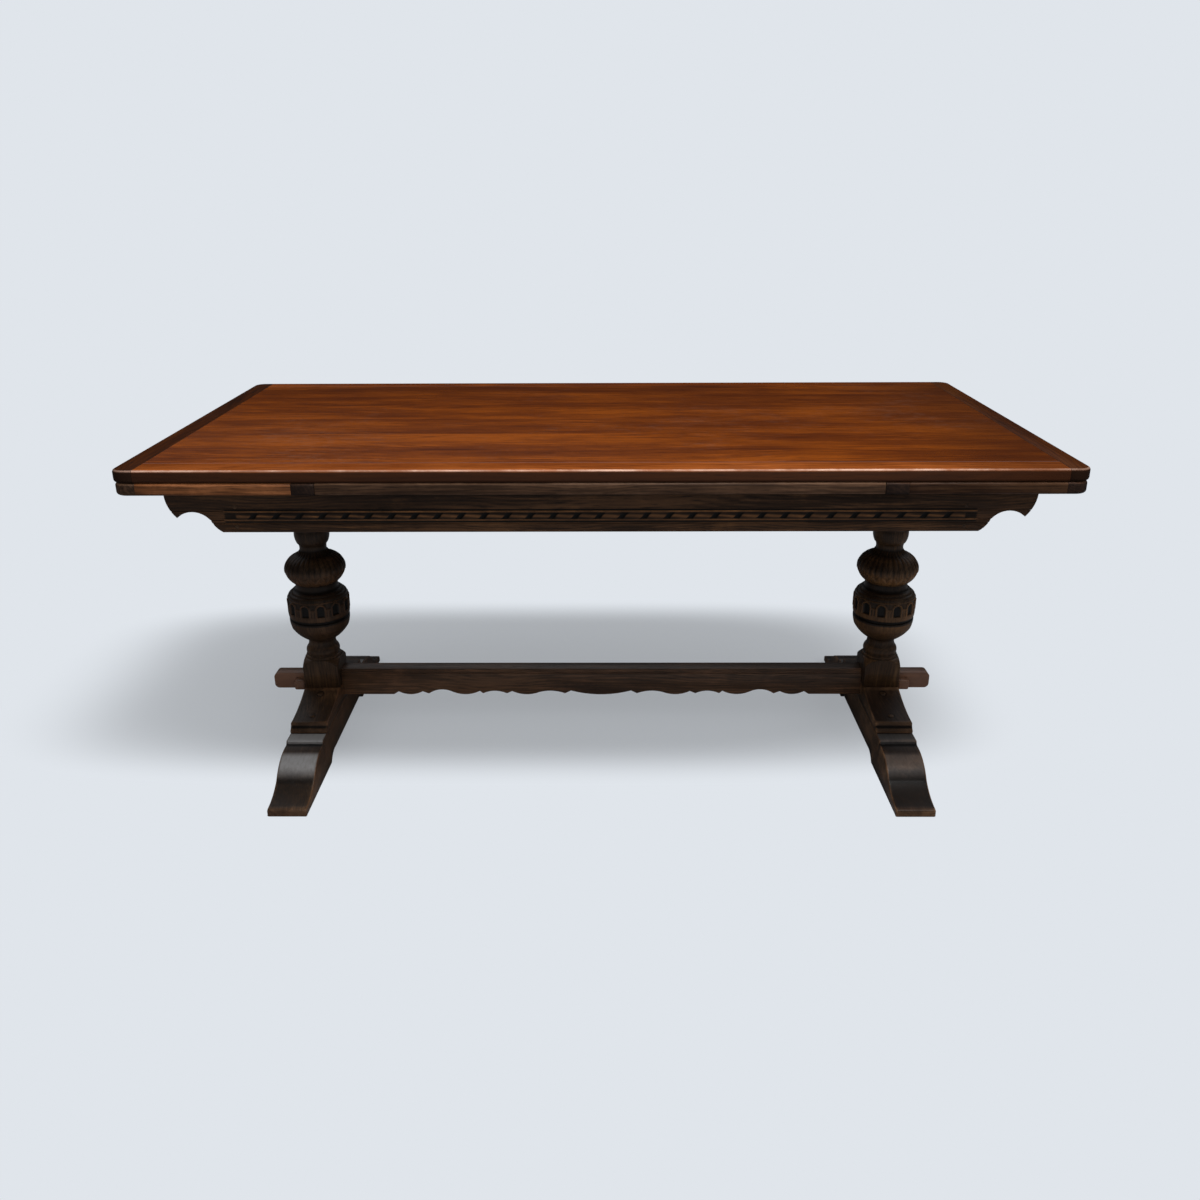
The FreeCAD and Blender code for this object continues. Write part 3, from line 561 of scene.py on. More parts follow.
# The right foot: the same oak in darker colours, painted shade on its upper faces
SHADED_FOOT_OAK = replace(
    FRAME_OAK, name="painted_shade_oak_right_foot", dark="1d140e", middle="2b1e16", light="3e2d21",
    rubbed_and_highlight="8e6a4c", rubbed_and_highlight_share=0.75, specular=0.2, face_wear=0.05,
)
# The aprons: the same oak with more of its brown left
APRON_OAK = OakFinish(
    name="dark_brown_oak_apron", dark="281a0f", middle="3c2819", light="5a3d26", pore="1a100a",
    rubbed_and_highlight="94653c", grime_and_shade="0c0805", rubbed_and_highlight_share=0.9, under_share=0.3, face_wear=0.3,
    roughness=0.4, specular=0.25, ring_mm=7.0, bump=0.3,
)
# The stretcher: the same oak, its through tenons worn brown
STRETCHER_OAK = OakFinish(
    name="black_brown_oak_stretcher", dark="2f2016", middle="432f20", light="5f4430",
    pore="1c130e", rubbed_and_highlight="8c6348", grime_and_shade="120d0a", rubbed_and_highlight_share=0.5, face_wear=0.35,
    roughness=0.33, specular=0.5, ring_mm=7.0, bump=0.3, end_colour="7a5744",
    end_mm=(700.0, 780.0), end_share=0.7,
)
# Parts hidden inside: oak left as it came from the plane
INNER_OAK = OakFinish(
    name="unstained_oak_inside", dark="4b3623", middle="6a4f35", light="856748", pore="35251a",
    rubbed_and_highlight="8d7355", grime_and_shade="2e2118", rubbed_and_highlight_share=0.2, grime_and_shade_share=0.2, roughness=0.65,
    specular=0.25,
)


# Shapes


def smooth_step(low: Any, high: Any, value: Array) -> Array:
    """A smooth rise from zero at low to one at high: 3t squared less 2t cubed.

    Args:
        low: Where the rise starts. It may lie above high, and then the value falls.
        high: Where the rise ends.
        value: The values to look at.

    Returns:
        An array like value.
    """
    t = np.clip((value - low) / (high - low), 0.0, 1.0)
    return t * t * (3.0 - 2.0 * t)


def span(value: Array, start: float, full: float, fade: float, stop: float) -> Array:
    """A smooth rise from start to full times a smooth fall from fade to stop.

    Args:
        value: The values to look at.
        start: Where the rise starts.
        full: Where the rise ends.
        fade: Where the fall starts.
        stop: Where the fall ends.

    Returns:
        An array like value, between zero and one.
    """
    return smooth_step(start, full, value) * smooth_step(stop, fade, value)


def ridge(off: Array, width: float) -> Array:
    """A bell-shaped ridge: e to the power of minus the square of off by width.

    Args:
        off: The distance from the ridge's line.
        width: The distance at which the ridge has dropped to 0.37.

    Returns:
        An array like off, between zero and one.
    """
    return np.exp(-((off / width) ** 2))


def arc_points(
    start: Sequence[float], via: Sequence[float], end: Sequence[float], steps: int
) -> Array:
    """Points along the circle through three points, without the first.

    The centre is where the bisectors of the two chords meet; the angle then runs evenly
    from the start to the end, on the side of the middle point.

    Args:
        start: First point.
        via: A point between the two ends.
        end: Last point.
        steps: How many points to give.

    Returns:
        An array of steps rows of two.
    """
    a, b, c = (complex(*p) for p in (start, via, end))
    w = (c - a) / (b - a)
    centre = (b - a) * (w - abs(w) ** 2) / (2j * w.imag) + a
    spokes = np.angle(np.array([(b - centre) / (a - centre), (c - centre) / (a - centre)]))
    sweep = spokes[1]
    if spokes[0] * sweep < 0 or abs(spokes[0]) > abs(sweep):
        sweep -= math.copysign(2 * math.pi, sweep)
    turn = np.linspace(0.0, sweep, steps + 1)[1:]
    points = centre + (a - centre) * np.exp(1j * turn)
    return np.column_stack([points.real, points.imag])


def new_piece(name: str, mesh: bpy.types.Mesh) -> bpy.types.Object:
    """Puts a mesh into the scene as an object.

    Args:
        name: The piece's name.
        mesh: Its mesh.

    Returns:
        The new object.
    """
    piece = bpy.data.objects.new(name, mesh)
    bpy.context.scene.collection.objects.link(piece)
    return piece


def grid_mesh(
    name: str,
    points: Array,
    around: bool = False,
    capped: bool = False,
    relief: Optional[Array] = None,
    scuff: Optional[Array] = None,
    flip: bool = False,
) -> bpy.types.Object:
    """A surface from a grid of points, with square faces between neighbours.

    Args:
        name: The piece's name.
        points: Rows by columns by three, in metres.
        around: Whether each row closes on itself.
        capped: Whether the first and the last row are closed with a flat face each.
        relief: How proud each point is, for the finish.
        scuff: How much grey painted sheen, a painted reflection, each point gets, for the finish.
        flip: Whether the faces are turned over.

    Returns:
        The new object, linked to the scene.
    """
    rows, columns = points.shape[:2]
    number = np.arange(rows * columns).reshape(rows, columns)
    way = -1 if flip else 1
    ends = [number[0, ::-way].tolist(), number[-1, ::way].tolist()] if capped else []
    if around:
        number = np.hstack([number, number[:, :1]])
    quads = np.stack(
        [number[:-1, :-1], number[:-1, 1:], number[1:, 1:], number[1:, :-1]], axis=-1
    ).reshape(-1, 4)[:, ::way]
    mesh = bpy.data.meshes.new(name)
    mesh.from_pydata(points.reshape(-1, 3), [], quads.tolist() + ends)
    for label, values in (("relief", relief), ("scuff", scuff)):
        if values is not None:
            layer = mesh.attributes.new(label, "FLOAT", "POINT")
            layer.data.foreach_set("value", values.reshape(-1).astype(np.float32))
    mesh.polygons.foreach_set("use_smooth", np.arange(len(mesh.polygons)) < len(quads))
    mesh.update()
    return new_piece(name, mesh)


def eased_copy(
    node: str,
    name: str,
    ease_mm: float,
    steps: int = 2,
    merge_mm: float = 0.001,
    flat_degrees: float = 0.5,
    sharp_degrees: float = 32.0,
) -> bpy.types.Object:
    """A copy of a node's solid with its sharp edges rounded off by hand wear.

    The copy's loose triangles are merged and its flat faces joined, so that only true
    edges are rounded.

    Args:
        node: The frame's node.
        name: The new piece's name.
        ease_mm: The width of the rounding.
        steps: How many faces the rounding has.
        merge_mm: How near two points lie that become one.
        flat_degrees: The bend up to which two faces become one.
        sharp_degrees: The bend from which an edge is rounded.

    Returns:
        The new object, linked to the scene.
    """
    mesh = bpy.data.meshes.new(name)
    work = bmesh.new()
    work.from_mesh(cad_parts[node].data)
    bmesh.ops.remove_doubles(work, verts=work.verts, dist=merge_mm * MM)
    bmesh.ops.dissolve_limit(
        work, angle_limit=math.radians(flat_degrees), verts=work.verts, edges=work.edges
    )
    work.to_mesh(mesh)
    work.free()
    mesh.polygons.foreach_set("use_smooth", np.ones(len(mesh.polygons), dtype=bool))
    piece = new_piece(name, mesh)
    bevel = piece.modifiers.new("eased_edges", "BEVEL")
    bevel.width = ease_mm * MM
    bevel.segments = steps
    bevel.limit_method = "ANGLE"
    bevel.angle_limit = math.radians(sharp_degrees)
    bevel.harden_normals = True
    bevel.use_clamp_overlap = True
    return piece


def settle(
    piece: bpy.types.Object, body: str, slot: str, material: bpy.types.Material, *nodes: str
) -> None:
    """Gives a piece its body, its finish and the nodes it stands for.

    Args:
        piece: The new object.
        body: The body that it rides on.
        slot: Not used.
        material: Its finish.
        nodes: The frame's nodes that it replaces.
    """
    piece.data.materials.clear()
    piece.data.materials.append(material)
    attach(piece, body)
    if nodes:
        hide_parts(*nodes)
    LOG.info("%s rides on %s", piece.name, body)


@dataclass
class Boards:
    """The framed boards of the top, the leaves and the centre board."""

    ease_mm: float = 0.7
    top: Sequence[tuple[str, OakFinish, Grain]] = (
        ("top_panel", TOP_OAK, Grain.LONG),
        ("top_rail_front", TOP_FRONT_LIT_OAK, Grain.LONG),
        ("top_rail_back", TOP_OAK, Grain.LONG),
        ("top_cleat_left", CLEAT_OAK, Grain.ACROSS),
        ("top_cleat_right", CLEAT_OAK, Grain.ACROSS),
    )
    # Each board of a leaf, with its finish on the left leaf and on the right one
    leaf: Sequence[tuple[str, OakFinish, OakFinish, Grain]] = (
        ("leaf_panel", LEAF_OAK, LEAF_OAK, Grain.LONG),
        ("leaf_rail_front", LEAF_OAK, LEAF_DARK_OAK, Grain.LONG),
        ("leaf_rail_back", LEAF_OAK, LEAF_DARK_OAK, Grain.LONG),
        ("leaf_end_cleat", BOARD_OAK, LEAF_CLEAT_OAK, Grain.ACROSS),
        ("leaf_inner_cleat", LEAF_CLEAT_OAK, LEAF_CLEAT_OAK, Grain.ACROSS),
    )

    def build(self) -> None:
        """Builds every board."""
        for node, finish, grain in self.top:
            piece = eased_copy(node, f"{node}_board", self.ease_mm)
            settle(piece, "main_top", "oak_top", finish.dress(grain), node)
        for number, side in enumerate(SIDES):
            for part, *finishes, grain in self.leaf:
                node = f"{part}_{side}"
                piece = eased_copy(node, f"{node}_board", self.ease_mm)
                material = finishes[number].dress(grain)
                settle(piece, f"leaf_{side}", "oak_leaf", material, node)
        piece = eased_copy("centre_board", "centre_board_plank", self.ease_mm)
        settle(piece, "frame", "oak_leaf", BOARD_OAK.dress(Grain.LONG), "centre_board")


@dataclass
class Underframe:
    """Stretcher, wedges, aprons and pegs, with worn edges."""

    plain: Sequence[tuple[str, OakFinish, Grain, float]] = (
        ("stretcher", STRETCHER_OAK, Grain.LONG, 1.6),
        ("tusk_wedge_left", STRETCHER_OAK, Grain.ACROSS, 4.5),
        ("tusk_wedge_right", STRETCHER_OAK, Grain.ACROSS, 4.5),
        ("apron_front", APRON_OAK, Grain.LONG, 1.2),
        ("apron_back", APRON_OAK, Grain.LONG, 1.2),
        ("saddle_pegs_left", FRAME_OAK, Grain.UPRIGHT, 1.0),
        ("saddle_pegs_right", FRAME_OAK, Grain.UPRIGHT, 1.0),
        ("rail_pegs_front", FRAME_OAK, Grain.ACROSS, 0.5),
        ("rail_pegs_back", FRAME_OAK, Grain.ACROSS, 0.5),
    )

    def build(self) -> None:
        """Builds the stained pieces that need no surface of their own."""
        for node, finish, grain, ease_mm in self.plain:
            piece = eased_copy(node, f"{node}_worn", ease_mm)
            settle(piece, "frame", "oak_frame", finish.dress(grain), node)


@dataclass
class Sledge:
    """A sledge foot and the saddle on it, as bars drawn along X with worn edges.

    Both are an outline in Y and Z: a lower line and an upper line above it. The outlines
    are symmetric, so only the half toward +Y is listed, outwards. A corner with four
    numbers ends an arc, and its last two give a point that the arc passes through.
    """

    place_mm: float
    side: str
    finish: OakFinish
    # How strong the grey painted sheen is, a painted reflection, and how far the upper faces past
    # the saddle are darkened
    sheen_strength: float
    upper_darkening: float
    half_mm: float = 43.25
    ease_mm: float = 3.0
    step_mm: float = 1.636
    arc_steps: int = 60
    ease_rows: int = 6
    plain_rows: int = 32
    bend_points: int = 4
    pegs_mm: Sequence[float] = (-147.0, -65.0, 65.0, 147.0)
    peg_ring_mm: float = 7.4
    peg_gap_mm: float = 1.2
    foot_lower: Corners = ((0, 19), (130, 19), (172, 0, 159.4, 12.9), (400, 0))
    foot_upper: Corners = (
        (0, 88), (222, 88), (226, 80), (236, 80), (319.9, 42, 284.8, 69), (394, 17.5, 349.1, 26.5),
        (400, 14.5), (400, 0.5),
    )
    saddle_lower: Corners = ((0, 88), (188, 88))
    saddle_upper: Corners = (
        (0, 135), (46, 135), (178, 110, 109.4, 117), (188, 95, 181, 99.5), (188, 88.5),
    )
    # Where the finish changes, as distances from the middle
    upper_darkening_mm: Pair = (178.0, 192.0)
    bare_mm: Sequence[float] = (254.0, 270.0, 294.0, 312.0)
    step_span_mm: Sequence[float] = (189.0, 192.0, 223.0, 227.0)
    head_span_mm: Sequence[float] = (254.0, 274.0, 294.0, 322.0)
    step_heights_mm: Pair = (80.0, 91.0)
    head_scuff: float = 0.8
    sheen_slope: Pair = (0.35, 0.6)
    upper_slope: float = 0.2
    level_slope: float = 0.3
    edge_wear: float = 0.9
    bend_wear: float = 1.3
    bend_limits: Pair = (-0.9, 0.7)
    peg_dirt: float = 1.2

    def build(self) -> None:
        """Builds the foot, then the saddle."""
        self._bar("sledge_foot", self._outline(self.foot_lower, self.foot_upper), ())
        self._bar("foot_saddle", self._outline(self.saddle_lower, self.saddle_upper), self.pegs_mm)

    def _line(self, corners: Corners, count: int) -> Array:
        """A half line as even small steps, with its arcs drawn out."""
        before, parts = corners[0], [np.array([corners[0]], dtype=float)]
        for corner in corners[1:]:
            if len(corner) == 4:
                parts.append(arc_points(before[:2], corner[2:], corner[:2], self.arc_steps))
            else:
                parts.append(np.array([corner], dtype=float))
            before = corner
        rough = np.vstack(parts)
        run = np.concatenate([[0.0], np.cumsum(np.hypot(*np.diff(rough, axis=0).T))])
        even = np.linspace(0.0, run[-1], count)
        return np.column_stack([np.interp(even, run, rough[:, i]) for i in (0, 1)])

    def _outline(self, lower: Corners, upper: Corners) -> tuple[Array, Array]:
        """The closed outline, counter-clockwise, and its middle line.

        The lower and the upper line have as many points, so that the loop read backwards
        gives each point its partner; the middle line lies halfway between partners.
        """
        count = int(upper[-1][0] / self.step_mm)
        low, high = self._line(lower, count), self._line(upper, count)
        mirror = np.array([-1.0, 1.0])
        loop = np.vstack([low[:0:-1] * mirror, low, high[:0:-1], high * mirror])
        for _ in range(2):
            loop = (np.roll(loop, 1, axis=0) + 2 * loop + np.roll(loop, -1, axis=0)) / 4
        return loop, (loop + loop[::-1]) / 2

    def _bar(self, part: str, outline: tuple[Array, Array], pegs: Sequence[float]) -> None:
        """One bar from its outline.

        Within the rounding of an end, at an angle a, a row lies ease times one less sine a
        short of the end and is drawn in by ease times one less cosine a. The flat ends
        close on the outline's middle line. Convex corners are worn, concave ones darker.
        """
        loop, middle = outline
        along = np.roll(loop, -1, axis=0) - np.roll(loop, 1, axis=0)
        along /= np.hypot(*along.T)[:, None]
        normal = np.column_stack([along[:, 1], -along[:, 0]])
        before, after = (np.roll(along, n, axis=0) for n in (self.bend_points, -self.bend_points))
        bend = before[:, 0] * after[:, 1] - before[:, 1] * after[:, 0]
        angle = np.linspace(math.pi / 2, 0.0, self.ease_rows)
        end = self.half_mm - self.ease_mm * (1 - np.sin(angle))
        inset = self.ease_mm * (1 - np.cos(angle))
        run = np.linspace(-end[-1], end[-1], self.plain_rows + 2)[1:-1]
        draw = np.concatenate([inset, np.zeros(len(run)), inset[::-1]])[:, None]
        x = np.concatenate([-end, run, end[::-1]])[:, None] * np.ones(len(loop))
        y = loop[:, 0] - draw * normal[:, 0]
        z = np.maximum(loop[:, 1] - draw * normal[:, 1], loop[:, 1].min())
        relief, scuff = self._wear_shade_and_sheen(x, y, z, normal[:, 1], bend, pegs)
        caps = [np.column_stack([x[row], middle])[None] for row in (0, -1)]
        points = np.vstack([caps[0], np.stack([x, y, z], axis=-1), caps[1]])
        points[..., 0] += self.place_mm
        relief = np.pad(relief, ((1, 1), (0, 0)), constant_values=1.0)
        scuff = np.pad(scuff, ((1, 1), (0, 0)))
        name = f"{part}_{self.side}"
        piece = grid_mesh(f"{name}_worn", points * MM, around=True, relief=relief, scuff=scuff)
        settle(piece, "frame", "oak_frame", self.finish.dress(Grain.ACROSS), name)

    def _wear_shade_and_sheen(
        self, x: Array, y: Array, z: Array, facing: Array, bend: Array, pegs: Sequence[float]
    ) -> tuple[Array, Array]:
        """How proud each point is, and how much grey painted sheen it gets.

        The upper faces past the saddle are darkened, but not the scroll's head. A grey
        painted sheen, a painted reflection, is strong on the step before the saddle and faint
        on the scroll's head.
        """
        edge = self.half_mm - 1
        rounded = smooth_step(edge - self.ease_mm, edge, np.abs(x))
        relief = self.edge_wear * rounded * (facing > self.upper_slope)
        relief += np.clip(self.bend_wear * bend, *self.bend_limits)
        off, level = np.abs(y), facing > self.level_slope
        beyond = smooth_step(*self.upper_darkening_mm, off) * level * (1 - rounded)
        relief -= self.upper_darkening * beyond * (1 - span(off, *self.bare_mm))
        for peg in pegs:
            ring = ridge(np.hypot(x, y - peg) - self.peg_ring_mm, self.peg_gap_mm)
            relief -= self.peg_dirt * ring * level
        low, high = self.step_heights_mm
        step = span(off, *self.step_span_mm) * (z > low) * (z < high)
        scuff = self.sheen_strength * (step + self.head_scuff * span(off, *self.head_span_mm))
        return relief, scuff * smooth_step(*self.sheen_slope, facing) * (1 - rounded)


@dataclass
class CarvedBand:
    """The run of slanted leaves carved along an apron's face, as one closed relief."""

    half_length_mm: float = 726.0
    leaves_mm: float = 703.0
    low_mm: float = 677.0
    high_mm: float = 704.4
    face_mm: float = 422.0
    skin_mm: float = 0.1
    root_mm: float = 1.0
    proud_mm: float = 2.0
    pitch_mm: float = 44.5
    slant: float = 0.9
    step_mm: float = 1.4
    rows: int = 33
    # Shares of the band's half height, outwards
    leaf_end: Pair = (0.50, 0.42)
    bead_span: Sequence[float] = (0.46, 0.52, 0.66, 0.72)
    line_span: Sequence[float] = (0.70, 0.76, 0.96, 1.0)
    shade_span: Pair = (0.7, 0.6)
    # Shares of the pitch from a leaf's middle
    gap_start: Pair = (0.34, 0.42)
    gap_bow: float = 0.05
    # Heights and depths as shares of proud, and how the finish takes each form
    gap_depth: float = 0.85
    bead_height: float = 0.9
    stroke_place: Pair = (0.03, 0.2)
    stroke_width: float = 0.22
    stroke_wear: float = 1.5
    bead_wear: float = 1.1
    hollow_darkening: float = 0.98
    shade: float = 0.85
    leaf_fade_mm: float = 4.0
    end_fade_mm: float = 5.0

    def build(self, row: str) -> None:
        """Builds the band of one apron.

        Flat leaves stand between slanted gaps, with a bead above and below them and a
        sunk line outside each bead. Behind, the relief is closed inside the apron.

        Args:
            row: "front" or "back".
        """
        columns = int(2 * self.half_length_mm / self.step_mm)
        x, z = np.meshgrid(
            np.linspace(-self.half_length_mm, self.half_length_mm, columns),
            np.linspace(self.low_mm, self.high_mm, self.rows),
        )
        middle = (self.low_mm + self.high_mm) / 2
        up = (z - middle) / ((self.high_mm - self.low_mm) / 2)
        turn = (x - self.slant * (z - middle)) / self.pitch_mm
        along = turn - np.floor(turn) - 0.5
        off = np.abs(up)
        last, stop = self.leaves_mm, self.half_length_mm
        leaf = smooth_step(last, last - self.leaf_fade_mm, np.abs(x))
        leaf *= smooth_step(*self.leaf_end, off)
        gap = smooth_step(*self.gap_start, np.abs(along + self.gap_bow * up ** 2))
        bead = span(off, *self.bead_span)
        line = span(off, *self.line_span)
        end = smooth_step(stop, stop - self.end_fade_mm, np.abs(x))
        height = np.maximum(leaf * (1 - self.gap_depth * gap), self.bead_height * bead) * end
        low, tilt = self.stroke_place
        stroke = ridge(up + low + tilt * along, self.stroke_width) * (1 - gap) * leaf
        relief = self.stroke_wear * stroke + self.bead_wear * bead
        # The gaps between the leaves and the sunk lines are darker, and the band's middle is
        # darkened with painted shade
        relief -= self.hollow_darkening * np.maximum(gap * leaf, line)
        relief = (relief - self.shade * smooth_step(*self.shade_span, off)) * end
        way = -1 if row == "front" else 1
        carved = way * (self.face_mm + self.skin_mm + self.proud_mm * height)
        sunk = np.full((2, columns), way * (self.face_mm - self.root_mm))
        ring = np.stack(
            [np.vstack([x, x[:2]]), np.vstack([carved, sunk]), np.vstack([z, z[[-1, 0]]])], axis=-1
        ).transpose(1, 0, 2)
        relief = np.pad(relief, ((0, 2), (0, 0))).T
        piece = grid_mesh(
            f"carved_band_{row}", ring * MM, around=True, capped=True, relief=relief, flip=way < 0
        )
        settle(piece, "frame", "oak_frame", APRON_OAK.dress(Grain.LONG))


@dataclass
class Column:
    """A cup-and-cover column as one surface round its axis, carved and turned.

    Each point's distance from the axis is the turned profile at its height, less what is
    carved away there. The blocks are the same surface with a squared distance. The profile
    gives distances and heights, and a corner with four numbers ends an arc, as in Sledge.
    """

    place_mm: float
    side: str
    finish: OakFinish
    turn_degrees: float
    warm: float
    base_mm: float = 135.0
    block_top_mm: float = 206.0
    cap_low_mm: float = 535.0
    cap_high_mm: float = 590.0
    half_mm: float = 43.25
    cup_mm: float = 72.7
    steps: int = 240
    row_mm: float = 1.25
    leaves: int = 16
    arches: int = 12
    squareness: float = 34.0
    shoulder_low: Corners = ((64.9, 175.0), (56.2, 194.2), (44.1, 206.0))
    shoulder_high: Corners = ((64.9, 547.0), (56.2, 539.6), (44.1, 535.0))
    shoulder_steps: int = 12
    profile: Corners = (
        (40.4, 206), (40.2, 212, 41.7, 209.2), (38, 212.5), (38, 215), (35.8, 233.5, 39.9, 223.5),
        (32.0, 245.5, 32.9, 239.5), (34.0, 253.5, 32.5, 250), (67.2, 286.5, 54.4, 269.6),
        (71.0, 304.5, 69.8, 296.5), (71.1, 309.5), (68, 310.3), (68, 314.6), (71, 315.4),
        (72.5, 326, 72.1, 320.5), (72.7, 330), (72.7, 350), (71.6, 364.5, 72.5, 358), (69.4, 366),
        (64.4, 374.6, 68.1, 371.2), (62.0, 375), (55.8, 381.2, 59.8, 379), (53.4, 381.5),
        (50, 387, 51, 384.4), (49.4, 395.5), (50.6, 400.8), (69.8, 431.5, 63.4, 414.2),
        (69.6, 437.5), (40.4, 468.2, 61.2, 455), (31.4, 480, 33.8, 474.6), (31.2, 486),
        (34.2, 496.6, 32, 491.6), (36, 498), (39.4, 531, 40.6, 513), (41.6, 532), (41.8, 535),
    )
    # Heights of the rows on the blocks
    plain_rows_mm: Pair = (172.0, 570.0)
    low_rows_mm: Sequence[float] = tuple(np.linspace(174.0, 205.9, 17))
    high_rows_mm: Sequence[float] = tuple(np.linspace(535.1, 549.0, 8))
    # Shares and heights of the lighter rings, partly painted light that the warm strength raises
    # on the right column, and of the rings darkened with painted shade
    warm_rings: Corners = (
        (0.55, 399, 404, 420, 434), (0.3, 262, 272, 303, 307), (0.2, 316, 320, 362, 366),
    )
    shade_rings: Corners = (
        (0.7, 430, 446, 480, 488), (0.6, 364, 368, 398, 401), (0.9, 303.5, 306.5, 316.5, 319),
    )
    hollow_mm: float = 9.0
    hollow_samples: int = 19
    hollow_limits: Pair = (-0.55, 0.45)
    full_cut_mm: float = 3.2
    # The arcade: heights, half widths and depths
    frieze_mm: Sequence[float] = (326.5, 328.0, 363.0, 364.5)
    sill_mm: Pair = (328.6, 330.6)
    spring_mm: float = 348.6
    niche_edge_mm: Pair = (9.6, 7.8)
    niche_depth_mm: float = 4.5
    rim_reach_mm: float = 11.0
    rim_width_mm: float = 1.5
    rim_height_mm: float = 1.1
    spandrel_edge_mm: Pair = (12.6, 14.0)
    spandrel_mm: Sequence[float] = (347.0, 350.0, 361.5, 363.5)
    spandrel_depth_mm: float = 2.4
    post_reach_mm: float = 15.4
    post_width_mm: float = 1.1
    post_top_mm: Pair = (346.0, 343.0)
    post_depth_mm: float = 2.2
    # The cover: where its leaves start and end, how high they stand and what cuts them.
    # A width or a start is a share of half a leaf, and the ribs turn in radians to the mm.
    hang_tip_mm: float = 424.0
    hang_rise_mm: float = 15.0
    hang_power: float = 2.2
    hang_top_mm: Pair = (482.0, 476.0)
    hang_height_mm: float = 1.6
    flute_depth_mm: float = 2.0
    flute_power: int = 5
    vein_depth_mm: float = 1.5
    vein_width: float = 0.16
    rib_depth_mm: float = 0.45
    rib_slope_mm: float = 18.0
    rib_turn: float = 1.05
    rib_start: float = 0.18
    rise_crest_mm: float = 436.0
    rise_drop_mm: float = 24.0
    rise_power: float = 1.1
    rise_foot_mm: Pair = (399.0, 402.0)
    rise_height_mm: float = 1.2
    rise_vein_mm: float = 1.3
    rise_vein_width: float = 0.2
    ground_mm: Sequence[float] = (400.0, 404.0, 445.0)
    ground_depth_mm: float = 0.9
    edge_mm: Pair = (1.5, 1.0)

    def build(self) -> None:
        """Builds the column."""
        height, radius = self._profile_rows()
        angle = np.linspace(0, 2 * math.pi, self.steps, endpoint=False)
        theta, z = np.meshgrid(angle, height)
        is_block = (z < self.block_top_mm) | (z > self.cap_low_mm)
        about = theta - math.radians(self.turn_degrees)
        cut = self._arcade(about, z) + self._cover_leaves(about, z)
        distance = np.where(is_block, self._square(theta, z), radius[:, None] + cut)
        near = np.linspace(-self.hollow_mm, self.hollow_mm, self.hollow_samples)
        wide = np.interp(height[:, None] + near, height, radius).mean(axis=1)
        hollow = np.clip((radius - wide) / self.hollow_mm, *self.hollow_limits)[:, None]
        warm, shade = (
            sum(share * span(z, *limits) for share, *limits in rings)
            for rings in (self.warm_rings, self.shade_rings)
        )
        # Proud parts lighter and hollows darker, lighter rings that are partly painted light, and
        # rings darkened with painted shade
        wear_and_painted_light = hollow + cut / self.full_cut_mm + self.warm * warm - shade
        points = np.stack(
            [self.place_mm + distance * np.cos(theta), distance * np.sin(theta), z], axis=-1
        )
        piece = grid_mesh(
            f"carved_column_{self.side}",
            points * MM,
            around=True,
            capped=True,
            relief=np.where(is_block, 0.0, wear_and_painted_light),
        )
        node = f"turned_column_{self.side}"
        settle(piece, "frame", "oak_frame", self.finish.dress(Grain.UPRIGHT), node)

    def _profile_rows(self) -> tuple[Array, Array]:
        """Heights of the grid's rows and the turned distance from the axis at each."""
        plain_low, plain_high = self.plain_rows_mm
        low, high = (
            np.column_stack([np.full(len(rows), self.half_mm), rows])
            for rows in (
                (self.base_mm, plain_low, *self.low_rows_mm),
                (*self.high_rows_mm, plain_high, self.cap_high_mm),
            )
        )
        before = self.profile[0]
        line = [low, np.array([before], dtype=float)]
        for corner in self.profile[1:]:
            rise = abs(corner[1] - before[1]) + abs(corner[0] - before[0])
            steps = max(2, int(rise / self.row_mm))
            if len(corner) == 4:
                line.append(arc_points(before[:2], corner[2:], corner[:2], steps))
            else:
                share = np.linspace(0, 1, steps + 1)[1:, None]
                line.append(np.array(before[:2]) * (1 - share) + np.array(corner) * share)
            before = corner
        whole = np.vstack([*line, high])
        return whole[:, 1], whole[:, 0]

    def _square(self, theta: Array, z: Array) -> Array:
        """Distance to a square block with eased corners, rounded off at its shoulders.

        The square is half over the n-th root of the n-th powers of cosine and sine added.
        """
        n = self.squareness
        square = self.half_mm / (np.abs(np.cos(theta)) ** n + np.abs(np.sin(theta)) ** n) ** (1 / n)
        low, high = (
            np.vstack([corners[0], arc_points(*corners, self.shoulder_steps)])
            for corners in (self.shoulder_low, self.shoulder_high)
        )
        limit = np.vstack([low, high[::-1]])
        return np.minimum(square, np.interp(z, limit[:, 1], limit[:, 0]))

    def _arcade(self, theta: Array, z: Array) -> Array:
        """Round arches sunk in the cup's frieze, each with a raised rim, and their posts."""
        pitch = 2 * math.pi * self.cup_mm / self.arches
        turn = theta * self.arches / (2 * math.pi)
        off = np.abs(turn - np.floor(turn) - 0.5) * pitch
        reach = np.where(z > self.spring_mm, np.hypot(off, z - self.spring_mm), off)
        sill = smooth_step(*self.sill_mm, z)
        niche = -self.niche_depth_mm * smooth_step(*self.niche_edge_mm, reach) * sill
        rim = self.rim_height_mm * ridge(reach - self.rim_reach_mm, self.rim_width_mm) * sill
        beyond = smooth_step(*self.spandrel_edge_mm, reach)
        spandrel = -self.spandrel_depth_mm * beyond * span(z, *self.spandrel_mm)
        groove = ridge(off - self.post_reach_mm, self.post_width_mm)
        post = -self.post_depth_mm * groove * sill * smooth_step(*self.post_top_mm, z)
        return (niche + rim + spandrel + post) * span(z, *self.frieze_mm)

